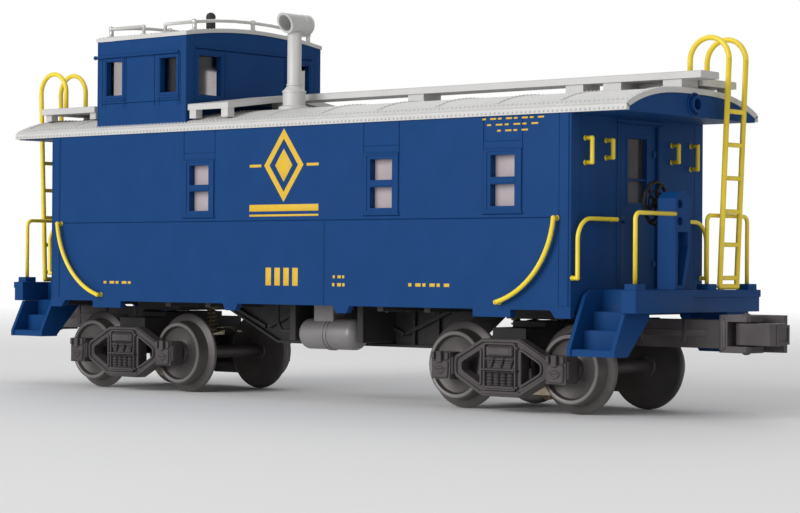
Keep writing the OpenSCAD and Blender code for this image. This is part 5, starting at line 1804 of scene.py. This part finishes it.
@dataclass
class Studio:
    """A pale floor, soft light and the camera."""

    place: tuple[float, float, float] = (0.39427, -0.44014, 0.03385)
    turn_deg: float = 40.740
    lift_deg: float = 0.2896
    roll_deg: float = 0.378
    lens: float = 101.77
    floor_colour: Colour = (0.86, 0.86, 0.86)

    def _camera(self) -> None:
        """The camera: forward from its turn and lift, then rolled about that."""
        a, e, r = (math.radians(v) for v in (self.turn_deg, self.lift_deg, self.roll_deg))
        forward = np.array([-math.sin(a) * math.cos(e), math.cos(a) * math.cos(e), math.sin(e)])
        right = np.array([math.cos(a), math.sin(a), 0.0])
        up = np.cross(right, forward)
        x = math.cos(r) * right + math.sin(r) * up
        y = -math.sin(r) * right + math.cos(r) * up
        matrix = np.eye(4)
        matrix[:3] = np.stack([x, y, -forward, np.array(self.place)], -1)
        data = bpy.data.cameras.new("camera")
        data.lens, data.sensor_width, data.sensor_fit = self.lens, 36.0, "HORIZONTAL"
        data.clip_start, data.clip_end = 0.01, 60.0
        camera = bpy.data.objects.new("camera", data)
        bpy.context.scene.collection.objects.link(camera)
        camera.matrix_world = Matrix(matrix.tolist())
        bpy.context.scene.camera = camera

    def _light(self, name: str, spot: tuple[float, float, float], power: float, size: float) -> None:
        """A soft square lamp that faces the car."""
        data = bpy.data.lights.new(name, "AREA")
        data.energy, data.size = power, size
        lamp = bpy.data.objects.new(name, data)
        bpy.context.scene.collection.objects.link(lamp)
        away = Matrix.Translation(spot)
        aim = (np.array([0.0, 0.0, 0.05]) - np.array(spot)).tolist()
        lamp.matrix_world = away @ Vector(aim).to_track_quat("-Z", "Y").to_matrix().to_4x4()

    def _floor(self) -> None:
        """A wide pale floor under the wheels."""
        mesh = bpy.data.meshes.new("floor")
        reach = 1.4
        mesh.from_pydata(
            [(-reach, -reach, 0), (reach, -reach, 0), (reach, reach, 0), (-reach, reach, 0)], [], [(0, 1, 2, 3)]
        )
        floor = bpy.data.objects.new("floor", mesh)
        bpy.context.scene.collection.objects.link(floor)
        pale = Finish(
            "floor_pale", self.floor_colour, (0.88, 0.88, 0.88), self.floor_colour, 0.8, drift=200.0, grain=3.0,
            bump=0.0
        ).material()
        tree = pale.node_tree
        far = tree.nodes.new("ShaderNodeVectorMath")
        far.operation = "LENGTH"
        tree.links.new(tree.nodes["Texture Coordinate"].outputs["Object"], far.inputs[0])
        fade = tree.nodes.new("ShaderNodeMapRange")
        for name, number in (("From Min", 0.35), ("From Max", 1.3), ("To Min", 1.0), ("To Max", 0.0)):
            fade.inputs[name].default_value = number
        tree.links.new(far.outputs["Value"], fade.inputs["Value"])
        tree.links.new(fade.outputs["Result"], tree.nodes["Principled BSDF"].inputs["Alpha"])
        mesh.materials.append(pale)

    def _world(self) -> None:
        """An even white surround, brighter to the eye than as a light."""
        world = bpy.data.worlds.new("studio")
        bpy.context.scene.world = world
        world.use_nodes = True
        tree = world.node_tree
        back = tree.nodes["Background"]
        back.inputs["Color"].default_value = (1.0, 1.0, 1.0, 1.0)
        seen = tree.nodes.new("ShaderNodeLightPath")
        strength = tree.nodes.new("ShaderNodeMapRange")
        strength.inputs["To Min"].default_value = 0.45
        strength.inputs["To Max"].default_value = 1.0
        tree.links.new(seen.outputs["Is Camera Ray"], strength.inputs["Value"])
        tree.links.new(strength.outputs["Result"], back.inputs["Strength"])

    def build(self) -> None:
        """Sets up the studio."""
        bpy.context.scene.view_settings.view_transform = "Standard"
        self._camera()
        self._world()
        self._floor()
        self._light("key", (-0.3, -1.5, 0.65), 18.5, 1.1)
        self._light("fill", (1.5, -0.3, 0.6), 2.0, 1.2)
        self._light("rim", (-0.9, 1.2, 1.1), 6.0, 1.2)
        LOG.info("studio: camera, floor and lights")


def main() -> None:
    """Builds the car piece by piece, then the studio."""
    car = Measures.read()
    LOG.info("measures: %s", car)
    SideWalls(car).build()
    Markings(car).build()
    EndWalls(car).build()
    Roof(car).build()
    RoofFittings(car).build()
    Cupola(car).build()
    for name, rear in (("front", False), ("rear", True)):
        EndPlatform(car, name, rear).build()
        Truck(car, name, rear).build()
    for node in ("side_grabs_right", "side_grabs_left"):
        soften(node, 0.0, 45)
    Underframe(car).build()
    Panes().build()
    Studio().build()


if __name__ == "__main__":
    main()
